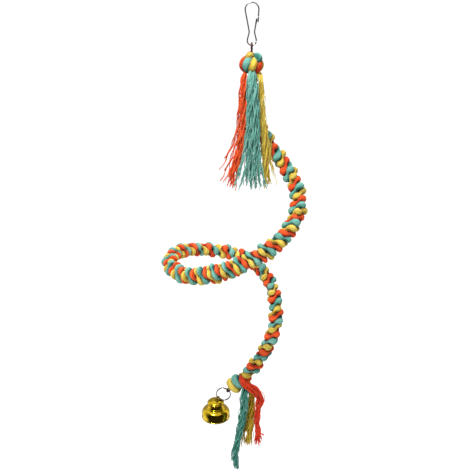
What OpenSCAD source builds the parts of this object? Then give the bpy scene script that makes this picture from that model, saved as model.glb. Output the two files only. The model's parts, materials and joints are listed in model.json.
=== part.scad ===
// A spiral rope perch: three soft cords wound round a bendable core wire, which hangs
// from a pear-shaped snap hook and carries a bell on a split ring at its lower end.
// The origin is where the hook hangs, at the inside of its top arc. +Z is up, and the
// perch is seen from -Y.

/* [Snap hook] */
// Thickness of the hook's spring wire
hook_wire_d = 1.4; // [1.2:0.1:1.6]
// Height of the hook over all
hook_h = 38.4; // [36:0.2:44]
// Width of the hook over its top arc
hook_top_w = 13.6; // [12.8:0.2:16]
// Width of the hook over its bottom loop
hook_loop_w = 9.6; // [9:0.2:11]
// Width between the two wires' centres at the waist
hook_waist_w = 4.8; // [4.4:0.1:5.4]
// Radius of the bend at the waist
hook_waist_bend_r = 3; // [2.4:0.1:4]
// Height of the waist above the centre of the bottom loop
hook_waist_rise = 7.6; // [7:0.1:8.4]
// Depth of the nose's lower end below the hanging point
latch_drop = 16.4; // [15:0.2:18]
// Length of the flat nose that the gate's tip lies behind
latch_lap = 4.8; // [3.6:0.1:6]
// Thickness of the flat nose
nose_t = 0.8; // [0.6:0.05:1]
// Width of the flat nose
nose_w = 2.2; // [1.8:0.1:2.6]

/* [Core wire] */
// Diameter of the bendable core wire
core_d = 1.8; // [1.4:0.1:2]
// Inside diameter of the eye at each end of the core
eye_in_d = 4.2; // [4:0.1:5]
// Bare wire between the last wrap and the lower eye
end_stem = 0.8; // [0.4:0.1:2]

/* [Perch] */
// Diameter of the perch over its wound cords
perch_d = 16; // [15.6:0.1:17]
// Radius of the spiral that the perch is bent into
spiral_r = 64; // [58:1:72]
// Height of the spiral from the upper knot to its lower end
spiral_drop = 338; // [320:2:360]
// Turns that each cord makes round the core
wind_turns = 33; // [28:1:34]
// Width of a wound cord where its turns are widest apart, square to its run
cord_w = 5.2; // [4.4:0.1:5.3]
// How far each cord rides out on its own side of the core
cord_ride = 0.8; // [0.4:0.1:1]

/* [Knots] */
// Height of the upper knot
knot_h = 20.4; // [19:0.2:23]
// Diameter of the upper knot
knot_d = 22.6; // [20:0.2:24]
// Width of a cord in the upper knot, square to its run
knot_cord_w = 7.6; // [6.6:0.1:7.8]
// Width of one closing wrap at the lower end
end_wrap_w = 7.6; // [7:0.1:8.4]
// Diameter over the closing wraps
end_wrap_d = 18.4; // [17:0.2:19]

/* [Tassels] */
// Length of the upper tassels
top_tassel_l = 104; // [80:1:120]
// Length of the lower tassels
end_tassel_l = 104; // [80:1:120]
// Width of a full tassel
tassel_w = 11; // [9:0.2:12]
// Thickness of a full tassel
tassel_t = 6.4; // [5:0.1:6.8]
// Depth of the ragged ends
fray_l = 6; // [3:0.5:9]

/* [Split ring] */
// Outside diameter of the split ring
ring_d = 16.4; // [15.6:0.1:18]
// Thickness of the ring's wire
ring_wire_d = 1; // [0.8:0.05:1.1]

/* [Bell] */
// Diameter of the bell at its rim
bell_d = 31.6; // [28:0.2:34]
// Height of the bell from its rim to its crown
bell_h = 21.6; // [20:0.2:24]
// Diameter of the bell's crown
bell_crown_d = 17.4; // [15:0.2:19]
// Height of the crown, from its top to the start of the flare
bell_crown_h = 9.8; // [8.6:0.1:11]
// Rise of the crown's domed top
bell_dome_h = 2.8; // [2:0.1:3.4]
// Radius of the bead round the crown's shoulder
bell_bead_r = 0.6; // [0.4:0.05:0.8]
// Thickness of the bell's wall
bell_wall = 0.8; // [0.6:0.05:1]
// Inside diameter of the loop on top of the bell
bell_loop_in_d = 3.6; // [3.4:0.1:4.2]
// Thickness of the wire of the loop, the hanger and the clapper's rod
bell_wire_d = 1.1; // [0.9:0.05:1.2]
// Radius of the hanger's bend inside the crown
hanger_r = 1.6; // [1.5:0.05:1.9]
// Length of the clapper from the hanger to the ball's centre
clapper_l = 12.6; // [11:0.2:14]
// Diameter of the clapper's ball
clapper_ball_d = 7; // [6:0.1:8]

/* [Hidden] */
$fn = 48;

// Clearances: between wires that move on each other, between soft pieces that lie
// against each other, and between the two coils of the split ring
run_gap = 0.1;
soft_gap = 0.3;
coil_gap = 0.08;

// How far the ring and the bell swing each way, which their eyes leave room for
swing_angle = 35;

// Colours
steel = "#9A9A96";
dark_steel = "#4A3A36";
brass = "#D9B422";
orange = "#F04A22";
yellow = "#E3C43A";
teal = "#63BCAE";

// Short forms for vectors and mixing
function unit(v) = v / norm(v);
function mix(a, b, share) = a + (b - a) * share;
function clamp(x, low, high) = min(max(x, low), high);
function ray(angle) = [cos(angle), sin(angle)];
function flip(p) = [-p[0], p[1]];
function xz(p, y = 0) = [p[0], y, p[1]];
function mean(points) = [for (k = [0:2]) [for (p = points) p[k]] * [for (p = points) 1]] / len(points);

// Joins equal rings of points into one closed tube, with a centre point in each cap.
// The rings turn clockwise as seen along the run.
module skin(rings) {
    n = len(rings[0]);
    m = len(rings);
    head = n * m;
    points = concat([for (ring = rings) each ring], [mean(rings[0]), mean(rings[m - 1])]);
    sides = [for (i = [0:m - 2], j = [0:n - 1])
        let (a = i * n + j, b = i * n + (j + 1) % n)
        each [[a, a + n, b + n], [a, b + n, b]]];
    start_cap = [for (j = [0:n - 1]) [head, j, (j + 1) % n]];
    end_cap = [for (j = [0:n - 1]) [head + 1, head - n + (j + 1) % n, head - n + j]];
    polyhedron(points, concat(sides, start_cap, end_cap), convexity = 8);
}

// Natural B-spline through a table of points: t runs from 0 to the last row's number
function row(table, i) = let (last = len(table) - 1)
    i < 0 ? 2 * table[0] - table[1]
    : i > last ? 2 * table[last] - table[last - 1]
    : table[i];
function spline(table, t) = let (i = clamp(floor(t), 0, len(table) - 2), f = t - i)
    (row(table, i - 1) * pow(1 - f, 3) + row(table, i) * (3 * pow(f, 3) - 6 * f * f + 4)
    + row(table, i + 1) * (3 * f * (1 + f - f * f) + 1) + row(table, i + 2) * pow(f, 3)) / 6;

// Frames along a run of points, turned as little as possible from one to the next:
// each is [point, direction, side, other side]
function along(points, i) = unit(points[min(i + 1, len(points) - 1)] - points[max(i - 1, 0)]);
function square_to(v, t) = unit(v - (v * t) * t);
function frames(points, first) = [for (i = 0, t = along(points, 0), side = square_to(first, t);
    i < len(points);
    i = i + 1, t = along(points, min(i, len(points) - 1)), side = square_to(side, t))
    [points[i], t, side, cross(t, side)]];

// Bends and straight runs of wire in the XZ plane, the balls that they meet in, which
// swell just over the wire, and a closed ring of wire round an axis in that plane
joint_swell = 0.02;
joint_back = 0.05;
module wire_bend(centre, r, from, to, d) {
    translate(xz(centre))
        rotate([90, 0, 0])
        rotate([0, 0, from])
        rotate_extrude(angle = to - from)
        translate([r, 0])
        circle(d = d);
}
module wire_run(p, q, d) {
    translate(xz(p))
        rotate([0, atan2(q[0] - p[0], q[1] - p[1]), 0])
        cylinder(h = norm(q - p), d = d);
}
module wire_link(p, q, d) {
    back = joint_back * unit(q - p);
    wire_run(p + back, q - back, d);
    for (end = [p, q])
        translate(xz(end))
        sphere(r = d / 2 + joint_swell);
}
module wire_ring(centre, r, axis_angle, d) {
    translate(centre)
        rotate([0, 90 - axis_angle, 0])
        rotate_extrude()
        translate([r, 0])
        circle(d = d);
}

// Direction, from circle a's centre, of the point where the crossing tangent to circle b
// leaves circle a, on the side that the sign picks
function cross_tangent(a, ra, b, rb, sign) = let (v = b - a)
    (atan2(v[1], v[0]) + sign * acos((ra + rb) / norm(v)) + 360) % 360;

// The hook's circles, as [x, z]
wire_r = hook_wire_d / 2;
top_r = (hook_top_w - hook_wire_d) / 2;
loop_r = (hook_loop_w - hook_wire_d) / 2;
top_c = [0, wire_r - top_r];
loop_c = [0, hook_wire_d - hook_h + wire_r + loop_r];
waist_c = [-hook_waist_w / 2 - hook_waist_bend_r, loop_c[1] + hook_waist_rise];
leg_angle = cross_tangent(top_c, top_r, waist_c, hook_waist_bend_r, -1);
foot_angle = cross_tangent(loop_c, loop_r, waist_c, hook_waist_bend_r, 1);

// The nose leans in a little, and the gate's tip lies behind it
nose_lean = 4;
nose_start = top_c + top_r * ray(-nose_lean);
nose_way = -ray(90 - nose_lean);
function nose_at(z) = nose_start + nose_way * (z - nose_start[1]) / nose_way[1];
lap_start = nose_at(latch_lap - latch_drop);
gate_tip = nose_at(lap_start[1] - hook_wire_d - run_gap) - [nose_t / 2 + run_gap + wire_r, 0];
gate_waist_c = flip(waist_c);
gate_reach = gate_tip - gate_waist_c;
gate_turn = atan2(gate_reach[1], gate_reach[0]) + acos(hook_waist_bend_r / norm(gate_reach));
gate_pivot_angle = -8;
gate_pivot = loop_c + loop_r * ray(gate_pivot_angle);
gate_open_angle = 22;
pivot_gap_angle = (wire_r * sin(gate_open_angle) + run_gap) / loop_r * 180 / PI;

// One wire, bent into the top arc, the left leg, the waist and the bottom loop, and
// flattened at its nose
module hook_bow() {
    leg = ray(leg_angle);
    foot = ray(foot_angle);
    color(steel) {
        wire_bend(top_c, top_r, -nose_lean, leg_angle, hook_wire_d);
        wire_link(top_c + top_r * leg, waist_c - hook_waist_bend_r * leg, hook_wire_d);
        wire_bend(waist_c, hook_waist_bend_r, foot_angle - 180, leg_angle - 180, hook_wire_d);
        wire_link(loop_c + loop_r * foot, waist_c - hook_waist_bend_r * foot, hook_wire_d);
        wire_bend(loop_c, loop_r, foot_angle, 360 + gate_pivot_angle - pivot_gap_angle, hook_wire_d);
        wire_link(nose_start, lap_start, hook_wire_d);
        hook_nose();
    }
}

// The wire's flattened end, as wide as it is squeezed, with a round tip
module hook_nose() {
    end_r = nose_w / 2;
    translate(xz(lap_start))
        rotate([0, nose_lean, 0]) {
            translate([-nose_t / 2, -end_r, end_r - latch_lap])
                cube([nose_t, nose_w, latch_lap - end_r]);
            translate([-nose_t / 2, 0, end_r - latch_lap])
                rotate([0, 90, 0])
                cylinder(h = nose_t, r = end_r);
        }
}

// The springy leg: it flexes where it comes up out of the bottom loop
module hook_gate() {
    foot = ray(180 - foot_angle);
    waist_start = gate_waist_c + hook_waist_bend_r * ray(gate_turn);
    color(steel) {
        wire_bend(loop_c, loop_r, gate_pivot_angle, 180 - foot_angle, hook_wire_d);
        wire_link(loop_c + loop_r * foot, gate_waist_c - hook_waist_bend_r * foot, hook_wire_d);
        wire_bend(gate_waist_c, hook_waist_bend_r, gate_turn, 360 - foot_angle, hook_wire_d);
        wire_link(waist_start, gate_tip, hook_wire_d);
    }
}

// The upper eye hangs on the hook's bottom wire, and the neck runs down from it
core_r = core_d / 2;
eye_r = (eye_in_d + core_d) / 2;
hang_z = loop_c[1] - loop_r;
top_eye_z = hang_z + wire_r + run_gap - eye_in_d / 2;
knot_top_z = top_eye_z - eye_r - core_r - soft_gap;
knot_end_z = knot_top_z - knot_h;
perch_top = [0, 0, knot_end_z];

// The route of the core: shares of the spiral's radius to the right and to the back, and
// of its height downwards. It leaves the knot, comes round the front, the left and the
// back, and runs in under the middle.
route_shares = [
    [0, 0, 0],
    [0.05, 0.09, 0.167],
    [0.82, -0.10, 0.306],
    [0.62, -0.91, 0.409],
    [-0.29, -1.15, 0.496],
    [-1.15, -0.69, 0.555],
    [-1.38, 0.32, 0.543],
    [-0.76, 1.14, 0.586],
    [0.28, 0.83, 0.605],
    [0.57, 0.13, 0.757],
    [0.14, 0.05, 0.914],
    [-0.30, 0.10, 1]
];
route = [for (s = route_shares)
    perch_top + [s[0] * spiral_r, s[1] * spiral_r, -s[2] * spiral_drop]];
route_last = len(route) - 1;
route_steps = 30 * route_last;
route_points = [for (i = [0:route_steps]) spline(route, i * route_last / route_steps)];
arc_rows = [for (i = 0, s = 0;
    i <= route_steps;
    i = i + 1, s = s + norm(route_points[min(i, route_steps)] - route_points[i - 1]))
    [s, i * route_last / route_steps]];
route_l = arc_rows[route_steps][0];
end_way = along(route_points, route_steps);

// The core's place at a length from the knot's lower side: straight up into the knot
// before that, and straight on past the route's end
function core_at(s) = s < 0 ? perch_top - [0, 0, s]
    : s > route_l ? route_points[route_steps] + end_way * (s - route_l)
    : spline(route, lookup(s, arc_rows));
function core_run(from, to, steps) = frames([for (i = [0:steps]) core_at(mix(from, to, i / steps))],
    [0, -1, 0]);

// The lower eye lies square to the split ring, which stands in the XZ plane
end_eye = core_at(route_l + end_stem + eye_r);
ring_angle = atan2(-end_way[2], -end_way[0]);
core_rings = 108;
core_sides = 6;

// One wire from eye to eye
module core_wire() {
    neck = [knot_end_z, top_eye_z - eye_r];
    run = core_run(0, route_l + end_stem, core_rings);
    color(dark_steel) {
        wire_ring([0, 0, top_eye_z], eye_r, 0, core_d);
        wire_run([0, neck[0]], [0, neck[1]], core_d);
        skin([for (f = run) [for (j = [0:core_sides - 1])
            f[0] + core_r * (cos(360 * j / core_sides) * f[2] + sin(360 * j / core_sides) * f[3])]]);
        wire_ring(end_eye, eye_r, ring_angle + 90, core_d);
    }
}

// A cord wound round the core: it starts at a phase, makes its turns along the frames,
// and lies between an inner radius and its own thickness. It tucks in at both ends.
loop_sides = 6;
loop_rings = 16;
function tuck(share, ends, least) = mix(least, 1, clamp(min(share, 1 - share) / ends, 0, 1));
function cord_middle(f, angle, r) = f[0] + r * (cos(angle) * f[2] + sin(angle) * f[3]);
function cord_middles(run, phase, turns, inner_r, half_t, ride, ends, least) =
    let (n = len(run) - 1)
    [for (i = [0:n]) let (a = phase + 360 * turns * i / n, k = tuck(i / n, ends, least))
        cord_middle(run[i], a, inner_r + half_t * k + ride * (1 + cos(a - phase)))];
function cord_rings(run, middles, phase, turns, half_t, half_ws, ends, least, sides) =
    let (n = len(run) - 1)
    [for (i = [0:n]) let (a = phase + 360 * turns * i / n, k = tuck(i / n, ends, least),
        out = cos(a) * run[i][2] + sin(a) * run[i][3],
        across = unit(cross(along(middles, i), out)))
        [for (j = [0:sides - 1]) middles[i] + k * (half_t * cos(360 * j / sides) * out
            + half_ws[i] * sin(360 * j / sides) * across)]];
module loop_cord(run, phase, turns, half_t, half_w, ends, least) {
    middles = cord_middles(run, phase, turns, bed_r, half_t, 0, ends, least);
    skin(cord_rings(run, middles, phase, turns, half_t, [for (f = run) half_w], ends, least,
        loop_sides));
}

// The three wound cords of the perch, a third of a turn apart. A bare mouth at each end
// lets the tassels out. Over the front of the loop the turns lie closer, and the cords are
// narrower by as much.
mouth = 2.8;
close_middle_share = 0.395;
close_reach_share = 0.2;
closer_share = 0.4;
function close_way(t) = clamp((t - close_middle_share) / close_reach_share, -1, 1);
function close_sum(t) = let (v = close_way(t)) (1 + v + sin(180 * v) / PI) / 2;
function run_share(t) = (t - closer_share * close_reach_share * close_sum(t))
    / (1 - closer_share * close_reach_share);
function width_share(t) = 1 - width_loss_share * (1 + cos(180 * close_way(t))) / 2;
width_loss_share = 0.34;
tuck_least_share = 0.55;
wind_margin = mouth + tuck_least_share * cord_w / 2;
wraps_start = route_l - 2 * end_wrap_w;
wind_start = wind_margin;
wind_end = wraps_start - wind_margin;
bed_r = core_r + soft_gap;
cord_half_t = (perch_d / 2 - bed_r) / 2 - cord_ride;
cord_tuck_share = 0.008;
cord_sides = 5;
curl_rings = 8;
wind_rings = curl_rings * wind_turns;
wind_run = frames([for (i = [0:wind_rings])
    core_at(mix(wind_start, wind_end, run_share(i / wind_rings)))], [0, -1, 0]);
wind_half_ws = [for (i = [0:wind_rings]) cord_w / 2 * width_share(i / wind_rings)];
function strand_rings(phase) = cord_rings(wind_run,
    cord_middles(wind_run, phase, wind_turns, bed_r, cord_half_t, cord_ride, cord_tuck_share,
        tuck_least_share),
    phase, wind_turns, cord_half_t, wind_half_ws, cord_tuck_share, tuck_least_share, cord_sides);
teal_phase = 0;
orange_phase = 120;
yellow_phase = 240;
module strand_teal() {
    color(teal) skin(strand_rings(teal_phase));
}
module strand_yellow() {
    color(yellow) skin(strand_rings(yellow_phase));
}
module strand_orange() {
    color(orange) skin(strand_rings(orange_phase));
}

// The upper knot: the same three cords, drawn up fat round the neck
knot_turns = 0.66;
knot_tuck_share = 0.5;
knot_least_share = 0.5;
knot_run = core_run(-knot_h + knot_cord_w / 4, -knot_cord_w / 4, round(loop_rings * knot_turns));
knot_phase = -30;
module knot_cord(phase) {
    loop_cord(knot_run, phase + knot_phase, knot_turns, (knot_d / 2 - bed_r) / 2, knot_cord_w / 2,
        knot_tuck_share, knot_least_share);
}
module knot_teal() {
    color(teal) knot_cord(teal_phase);
}
module knot_yellow() {
    color(yellow) knot_cord(yellow_phase);
}
module knot_orange() {
    color(orange) knot_cord(orange_phase);
}

// The closing wraps: each cord goes once round the core and tucks under itself
wrap_turns = 0.9;
wrap_tuck_share = 0.12;
wrap_lead_share = 0.14;
module end_wrap(place, phase) {
    middle = wraps_start + (place + 0.5) * end_wrap_w;
    lead = end_wrap_w * wrap_lead_share;
    half_w = (end_wrap_w - soft_gap - lead) / 2 / cos(180 / loop_sides);
    run = core_run(middle - lead / 2, middle + lead / 2, loop_rings);
    loop_cord(run, phase, wrap_turns, (end_wrap_d / 2 - bed_r) / 2, half_w,
        wrap_tuck_share, tuck_least_share);
}
teal_wrap_phase = 60;
yellow_wrap_phase = 100;
module end_wrap_teal() {
    color(teal) end_wrap(0, teal_wrap_phase);
}
module end_wrap_yellow() {
    color(yellow) end_wrap(1, yellow_wrap_phase);
}

// A tassel of unravelled cord: rows of shares of its length to the right, to the back and
// downwards, and of its full girth. Its plies show as lobes, and it ends ragged.
tassel_rings = 14;
tassel_lobes = 6;
groove_share = 0.8;
ply_twist = 9;
rag_shares = [0.4, 0, 1, 0.3, 0.6, 0.1, 0.9, 0.2, 0.5, 0, 0.8, 0.3];
module tassel(root, flat_way, shares, l) {
    last = len(shares) - 1;
    rows = [for (i = [0:tassel_rings]) spline(shares, i * last / tassel_rings)];
    run = frames([for (s = rows) root + l * [s[0], s[1], -s[2]]], flat_way);
    n = 2 * tassel_lobes;
    skin([for (i = [0:tassel_rings]) let (f = run[i], rag = i == tassel_rings ? fray_l : 0)
        [for (j = [0:n - 1]) let (a = 360 * j / n + ply_twist * i,
            k = rows[i][3] * (j % 2 == 0 ? 1 : groove_share) / 2)
            f[0] + k * (tassel_w * cos(a) * f[2] + tassel_t * sin(a) * f[3])
            + rag * rag_shares[j] * f[1]]]);
}

// A tassel's root lies beside the core, at an angle from the front to the upper left
root_r = bed_r + soft_gap;
rightwards = [1, 0, 0];
frontwards = [0, -1, 0];
upwards = [0, 0, 1];
function mouth_at(s, angle) = let (t = unit(core_at(s + mouth) - core_at(s - mouth)))
    core_at(s) + root_r * (cos(angle) * frontwards - sin(angle) * unit(cross(frontwards, t)));

// The upper tassels come out of the mouth under the knot, the teal one before the others
side_root_angle = 90;
top_orange_shares = [[0, 0, 0, 0.24], [-0.038, -0.02, 0, 0.34], [-0.055, -0.06, 0.02, 0.48],
    [-0.055, -0.085, 0.09, 0.6], [-0.058, -0.082, 0.3, 0.66], [-0.066, -0.082, 0.52, 0.7],
    [-0.1, -0.084, 0.7, 0.74], [-0.148, -0.085, 0.86, 0.86], [-0.178, -0.08, 0.96, 1]];
top_teal_shares = [[0, 0, 0, 0.24], [0, -0.045, 0, 0.36], [0.002, -0.1, 0.02, 0.7],
    [0.006, -0.125, 0.09, 0.92], [0.014, -0.13, 0.3, 1], [0.014, -0.13, 0.55, 1],
    [0.014, -0.125, 0.8, 1.15], [0.02, -0.12, 0.96, 1.5]];
top_yellow_shares = [[0, 0, 0, 0.24], [0.038, -0.02, 0, 0.34], [0.062, -0.065, 0.02, 0.5],
    [0.068, -0.094, 0.09, 0.48], [0.074, -0.096, 0.28, 0.46], [0.096, -0.1, 0.51, 0.54],
    [0.114, -0.09, 0.7, 0.64], [0.122, -0.085, 0.86, 0.7], [0.13, -0.08, 0.96, 0.8]];
module top_tassel(angle, shares) {
    tassel(mouth_at(mouth / 2, angle), rightwards, shares, top_tassel_l);
}
module top_tassel_orange() {
    color(orange) top_tassel(side_root_angle, top_orange_shares);
}
module top_tassel_teal() {
    color(teal) top_tassel(0, top_teal_shares);
}
module top_tassel_yellow() {
    color(yellow) top_tassel(-side_root_angle, top_yellow_shares);
}

// The lower tassels come out of the mouth above the closing wraps, the orange one over
// the others
orange_root_angle = 20;
teal_root_angle = -45;
yellow_root_angle = -132;
end_orange_shares = [[0, 0, 0, 0.24], [0.005, -0.09, 0, 0.5], [0.07, -0.14, 0.02, 0.86],
    [0.168, -0.13, 0.085, 0.9], [0.196, -0.11, 0.183, 0.8], [0.172, -0.1, 0.282, 0.62],
    [0.166, -0.1, 0.381, 0.55], [0.16, -0.1, 0.487, 0.54], [0.188, -0.1, 0.6, 0.56],
    [0.176, -0.1, 0.72, 0.6]];
end_teal_shares = [[0, 0, 0, 0.2], [0.03, -0.03, 0.018, 0.38], [0.05, -0.07, 0.05, 0.66],
    [0.036, -0.095, 0.12, 0.76], [0.038, -0.1, 0.226, 0.84], [0.025, -0.1, 0.38, 0.86],
    [-0.016, -0.1, 0.583, 0.86], [-0.049, -0.1, 0.749, 0.8], [-0.07, -0.1, 0.873, 0.72],
    [-0.056, -0.1, 1.02, 0.6]];
end_yellow_shares = [[0, 0, 0, 0.24], [0.045, -0.005, 0.022, 0.33], [0.075, -0.02, 0.06, 0.46],
    [0.097, -0.03, 0.154, 0.5], [0.112, -0.04, 0.307, 0.5], [0.099, -0.04, 0.463, 0.5],
    [0.087, -0.04, 0.621, 0.5], [0.074, -0.04, 0.75, 0.5]];
module end_tassel(angle, flat_way, shares) {
    tassel(mouth_at(wraps_start - mouth / 2, angle), flat_way, shares, end_tassel_l);
}
module end_tassel_orange() {
    color(orange) end_tassel(orange_root_angle, upwards, end_orange_shares);
}
module end_tassel_teal() {
    color(teal) end_tassel(teal_root_angle, rightwards, end_teal_shares);
}
module end_tassel_yellow() {
    color(yellow) end_tassel(yellow_root_angle, frontwards, end_yellow_shares);
}

// How far the middle of the ring's two coils lies from the middle of an eye that it
// hangs in, so that it clears the eye over its whole swing, and how far back the coils'
// middle is at an angle round the ring
ring_wire_r = ring_wire_d / 2;
coil_pitch = ring_wire_d + coil_gap;
function seat(in_d) = let (h = coil_pitch / 2, s = sin(swing_angle),
    free = in_d / 2 - ring_wire_r - run_gap)
    sqrt(free * free - h * h * (1 - s * s)) - h * s;
function out_from(angle) = xz(ray(angle));
function coils_y(angle) = [0, (cos(angle) > 0 ? -1 : 1) * (1 + sin(angle)) * coil_pitch / 4, 0];
ring_r = ring_d / 2 - ring_wire_r;
ring_pivot = end_eye - seat(eye_in_d) * out_from(ring_angle);
ring_c = ring_pivot - ring_r * out_from(ring_angle) - coils_y(ring_angle);

// Two coils made of half turns: each half leans about X, so that the halves meet
module split_ring() {
    lean = asin(coil_pitch / 4 / ring_r);
    halves = 4;
    color(steel)
        translate(ring_c)
        for (i = [0:halves - 1]) {
            shift = (i - (halves - 1) / 2) * coil_pitch / 2;
            side = i % 2 == 0 ? 1 : -1;
            translate([0, shift, 0])
                rotate([side * lean, 0, 0])
                rotate([90, 0, 0])
                rotate([0, 0, side * -90])
                rotate_extrude(angle = 180)
                translate([ring_r, 0])
                circle(r = ring_wire_r);
        }
}

// The bell hangs on the ring by its loop, and its crown lies just under the loop
bell_angle = 217;
bell_wire_r = bell_wire_d / 2;
rivet_width_scale = 2.4;
bell_loop_r = (bell_loop_in_d + bell_wire_d) / 2;
bell_pivot = ring_c + ring_r * out_from(bell_angle) + coils_y(bell_angle);
bell_loop_c = bell_pivot + seat(bell_loop_in_d) * out_from(bell_angle);
loop_foot = bell_loop_c + bell_loop_r * out_from(bell_angle);
crown = loop_foot - [0, 0, bell_wire_r + run_gap];
crown_r = bell_crown_d / 2;
flare_power = 0.75;
dome_steps = 6;
flare_steps = 10;

// Outline of the bell, from the crown's middle to the rim, as [r, z]: the wall, which is
// smooth inside, and the outside with beads round the crown's shoulder and foot and a lip
crown_lean_share = 0.04;
flare_r = crown_r * (1 + crown_lean_share);
bead_steps = 5;
lip_steps = 9;
dome_rows = [for (i = [0:dome_steps]) let (a = 90 * i / dome_steps)
    [crown_r * sin(a), bell_dome_h * (cos(a) - 1)]];
flare_rows = [for (i = [0:flare_steps]) let (v = i / flare_steps)
    [mix(flare_r, bell_d / 2 - bell_bead_r, pow(sin(90 * v), flare_power)),
        -mix(bell_crown_h, bell_h - 2 * bell_bead_r, v)]];
wall_rows = concat(dome_rows, flare_rows);
function bead(centre, from, to, steps) = [for (i = [0:steps])
    centre + bell_bead_r * ray(mix(from, to, i / steps))];
shoulder_bead = bead([crown_r, -bell_dome_h - bell_bead_r], 90, -90, bead_steps);
foot_bead = bead([flare_r, bell_bead_r - bell_crown_h], 90, -60, bead_steps);
lip_bead = bead([bell_d / 2 - bell_bead_r, bell_bead_r - bell_h], 60, -165, lip_steps);
bell_outside = concat(dome_rows, [for (i = [1:bead_steps]) shoulder_bead[i]], foot_bead,
    [for (i = [1:flare_steps]) flare_rows[i]], lip_bead);
function inward(rows, i) = let (t = along(rows, i)) rows[i] + bell_wall * [t[1], -t[0]];
bell_inside = [for (i = [len(wall_rows) - 1:-1:0])
    i == 0 ? [0, -bell_wall] : inward(wall_rows, i)];

// Thin spun shell
module bell_shell() {
    color(brass)
        translate(crown)
        difference() {
            rotate_extrude()
                polygon(concat(bell_outside, bell_inside));
            translate([0, 0, -bell_wall - bell_dome_h])
                cylinder(h = bell_wall + 2 * bell_dome_h, r = bell_wire_r + run_gap);
        }
}

// Loop, stem and inner hanger, closed over the crown by a rivet head
rivet_r = rivet_width_scale * bell_wire_r + hanger_r / 2;
rivet_t = bell_wall * 0.75;
hanger_leg = bell_wire_d;
dome_fall = bell_dome_h * (1 - cos(asin(rivet_r / crown_r)));
hanger_top_z = -bell_wall - dome_fall - run_gap - rivet_t;
hanger_c = [crown[0], crown[2] + hanger_top_z - hanger_leg];
module bell_loop() {
    color(brass) {
        wire_ring(bell_loop_c, bell_loop_r, bell_angle + 90, bell_wire_d);
        translate(crown) {
            translate([0, 0, hanger_top_z])
                cylinder(h = loop_foot[2] - crown[2] - hanger_top_z, r = bell_wire_r);
            translate([0, 0, hanger_top_z])
                cylinder(h = rivet_t, r = rivet_r);
        }
        translate([0, crown[1], 0]) {
            wire_bend(hanger_c, hanger_r, 180, 360, bell_wire_d);
            for (side = [-1, 1])
                wire_run(hanger_c + [side * hanger_r, 0],
                    hanger_c + [side * hanger_r, hanger_leg + rivet_t / 2], bell_wire_d);
        }
    }
}

// The clapper's eye hangs on the hanger's bend
clapper_eye_r = hanger_r;
clapper_pivot = [crown[0], crown[1], hanger_c[1] - hanger_r];
clapper_eye = clapper_pivot - [0, 0, clapper_eye_r - bell_wire_d - run_gap];
module clapper() {
    ball = clapper_pivot - [0, 0, clapper_l];
    color(dark_steel) {
        wire_ring(clapper_eye, clapper_eye_r, 0, bell_wire_d);
        translate(ball)
            sphere(d = clapper_ball_d);
        translate(ball)
            cylinder(h = clapper_eye[2] - clapper_eye_r - ball[2], r = bell_wire_r);
    }
}

// Least gap of a wound cord to its own next turn and to its neighbour, measured on the
// rings' points over the tightest stretch of every turn
function near_gap(a, b, i, reach) = min([for (p = a[i], k = [max(i - reach, 0):min(i + reach, len(b) - 1)],
    q = b[k]) norm(p - q)]);
teal_rings = strand_rings(teal_phase);
orange_rings = strand_rings(orange_phase);
last_ring = len(teal_rings) - 1;
self_gap = min([for (i = [0:last_ring - curl_rings], p = teal_rings[i],
    k = [i + curl_rings / 2:min(i + 2 * curl_rings, last_ring)], q = teal_rings[k]) norm(p - q)]);
next_gap = min([for (i = [0:last_ring]) near_gap(teal_rings, orange_rings, i, curl_rings / 2)]);
echo(route_length = route_l, cord_gap_to_itself = self_gap, cord_gap_to_its_neighbour = next_gap);
echo(hang = [0, 0, hang_z], gate_pivot = gate_pivot, ring_pivot = ring_pivot,
    ring_axis = out_from(ring_angle + 90), bell_pivot = bell_pivot,
    bell_axis = out_from(bell_angle + 90), clapper_pivot = clapper_pivot, ring_c = ring_c,
    crown = crown, end_eye = end_eye);

hook_bow();
hook_gate();
core_wire();
strand_teal();
strand_yellow();
strand_orange();
knot_teal();
knot_yellow();
knot_orange();
top_tassel_orange();
top_tassel_teal();
top_tassel_yellow();
end_wrap_teal();
end_wrap_yellow();
end_tassel_orange();
end_tassel_teal();
end_tassel_yellow();
split_ring();
bell_shell();
bell_loop();
clapper();
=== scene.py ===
"""Looks of a spiral rope bird perch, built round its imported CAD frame.

Three soft cotton cords are wound round a bendable core wire. The perch hangs from a
pear-shaped snap hook, its cords end in unravelled tassels at both ends, and a polished
bell hangs from a split ring at the bottom. Lengths are in metres. The frame's origin is
where the hook hangs, +Z is up, and the photograph looks along +Y from a little above.
"""

from __future__ import annotations

import json
import logging
import math
from dataclasses import dataclass, field, fields, replace
from enum import Enum
from typing import Callable, Optional, Sequence

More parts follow.
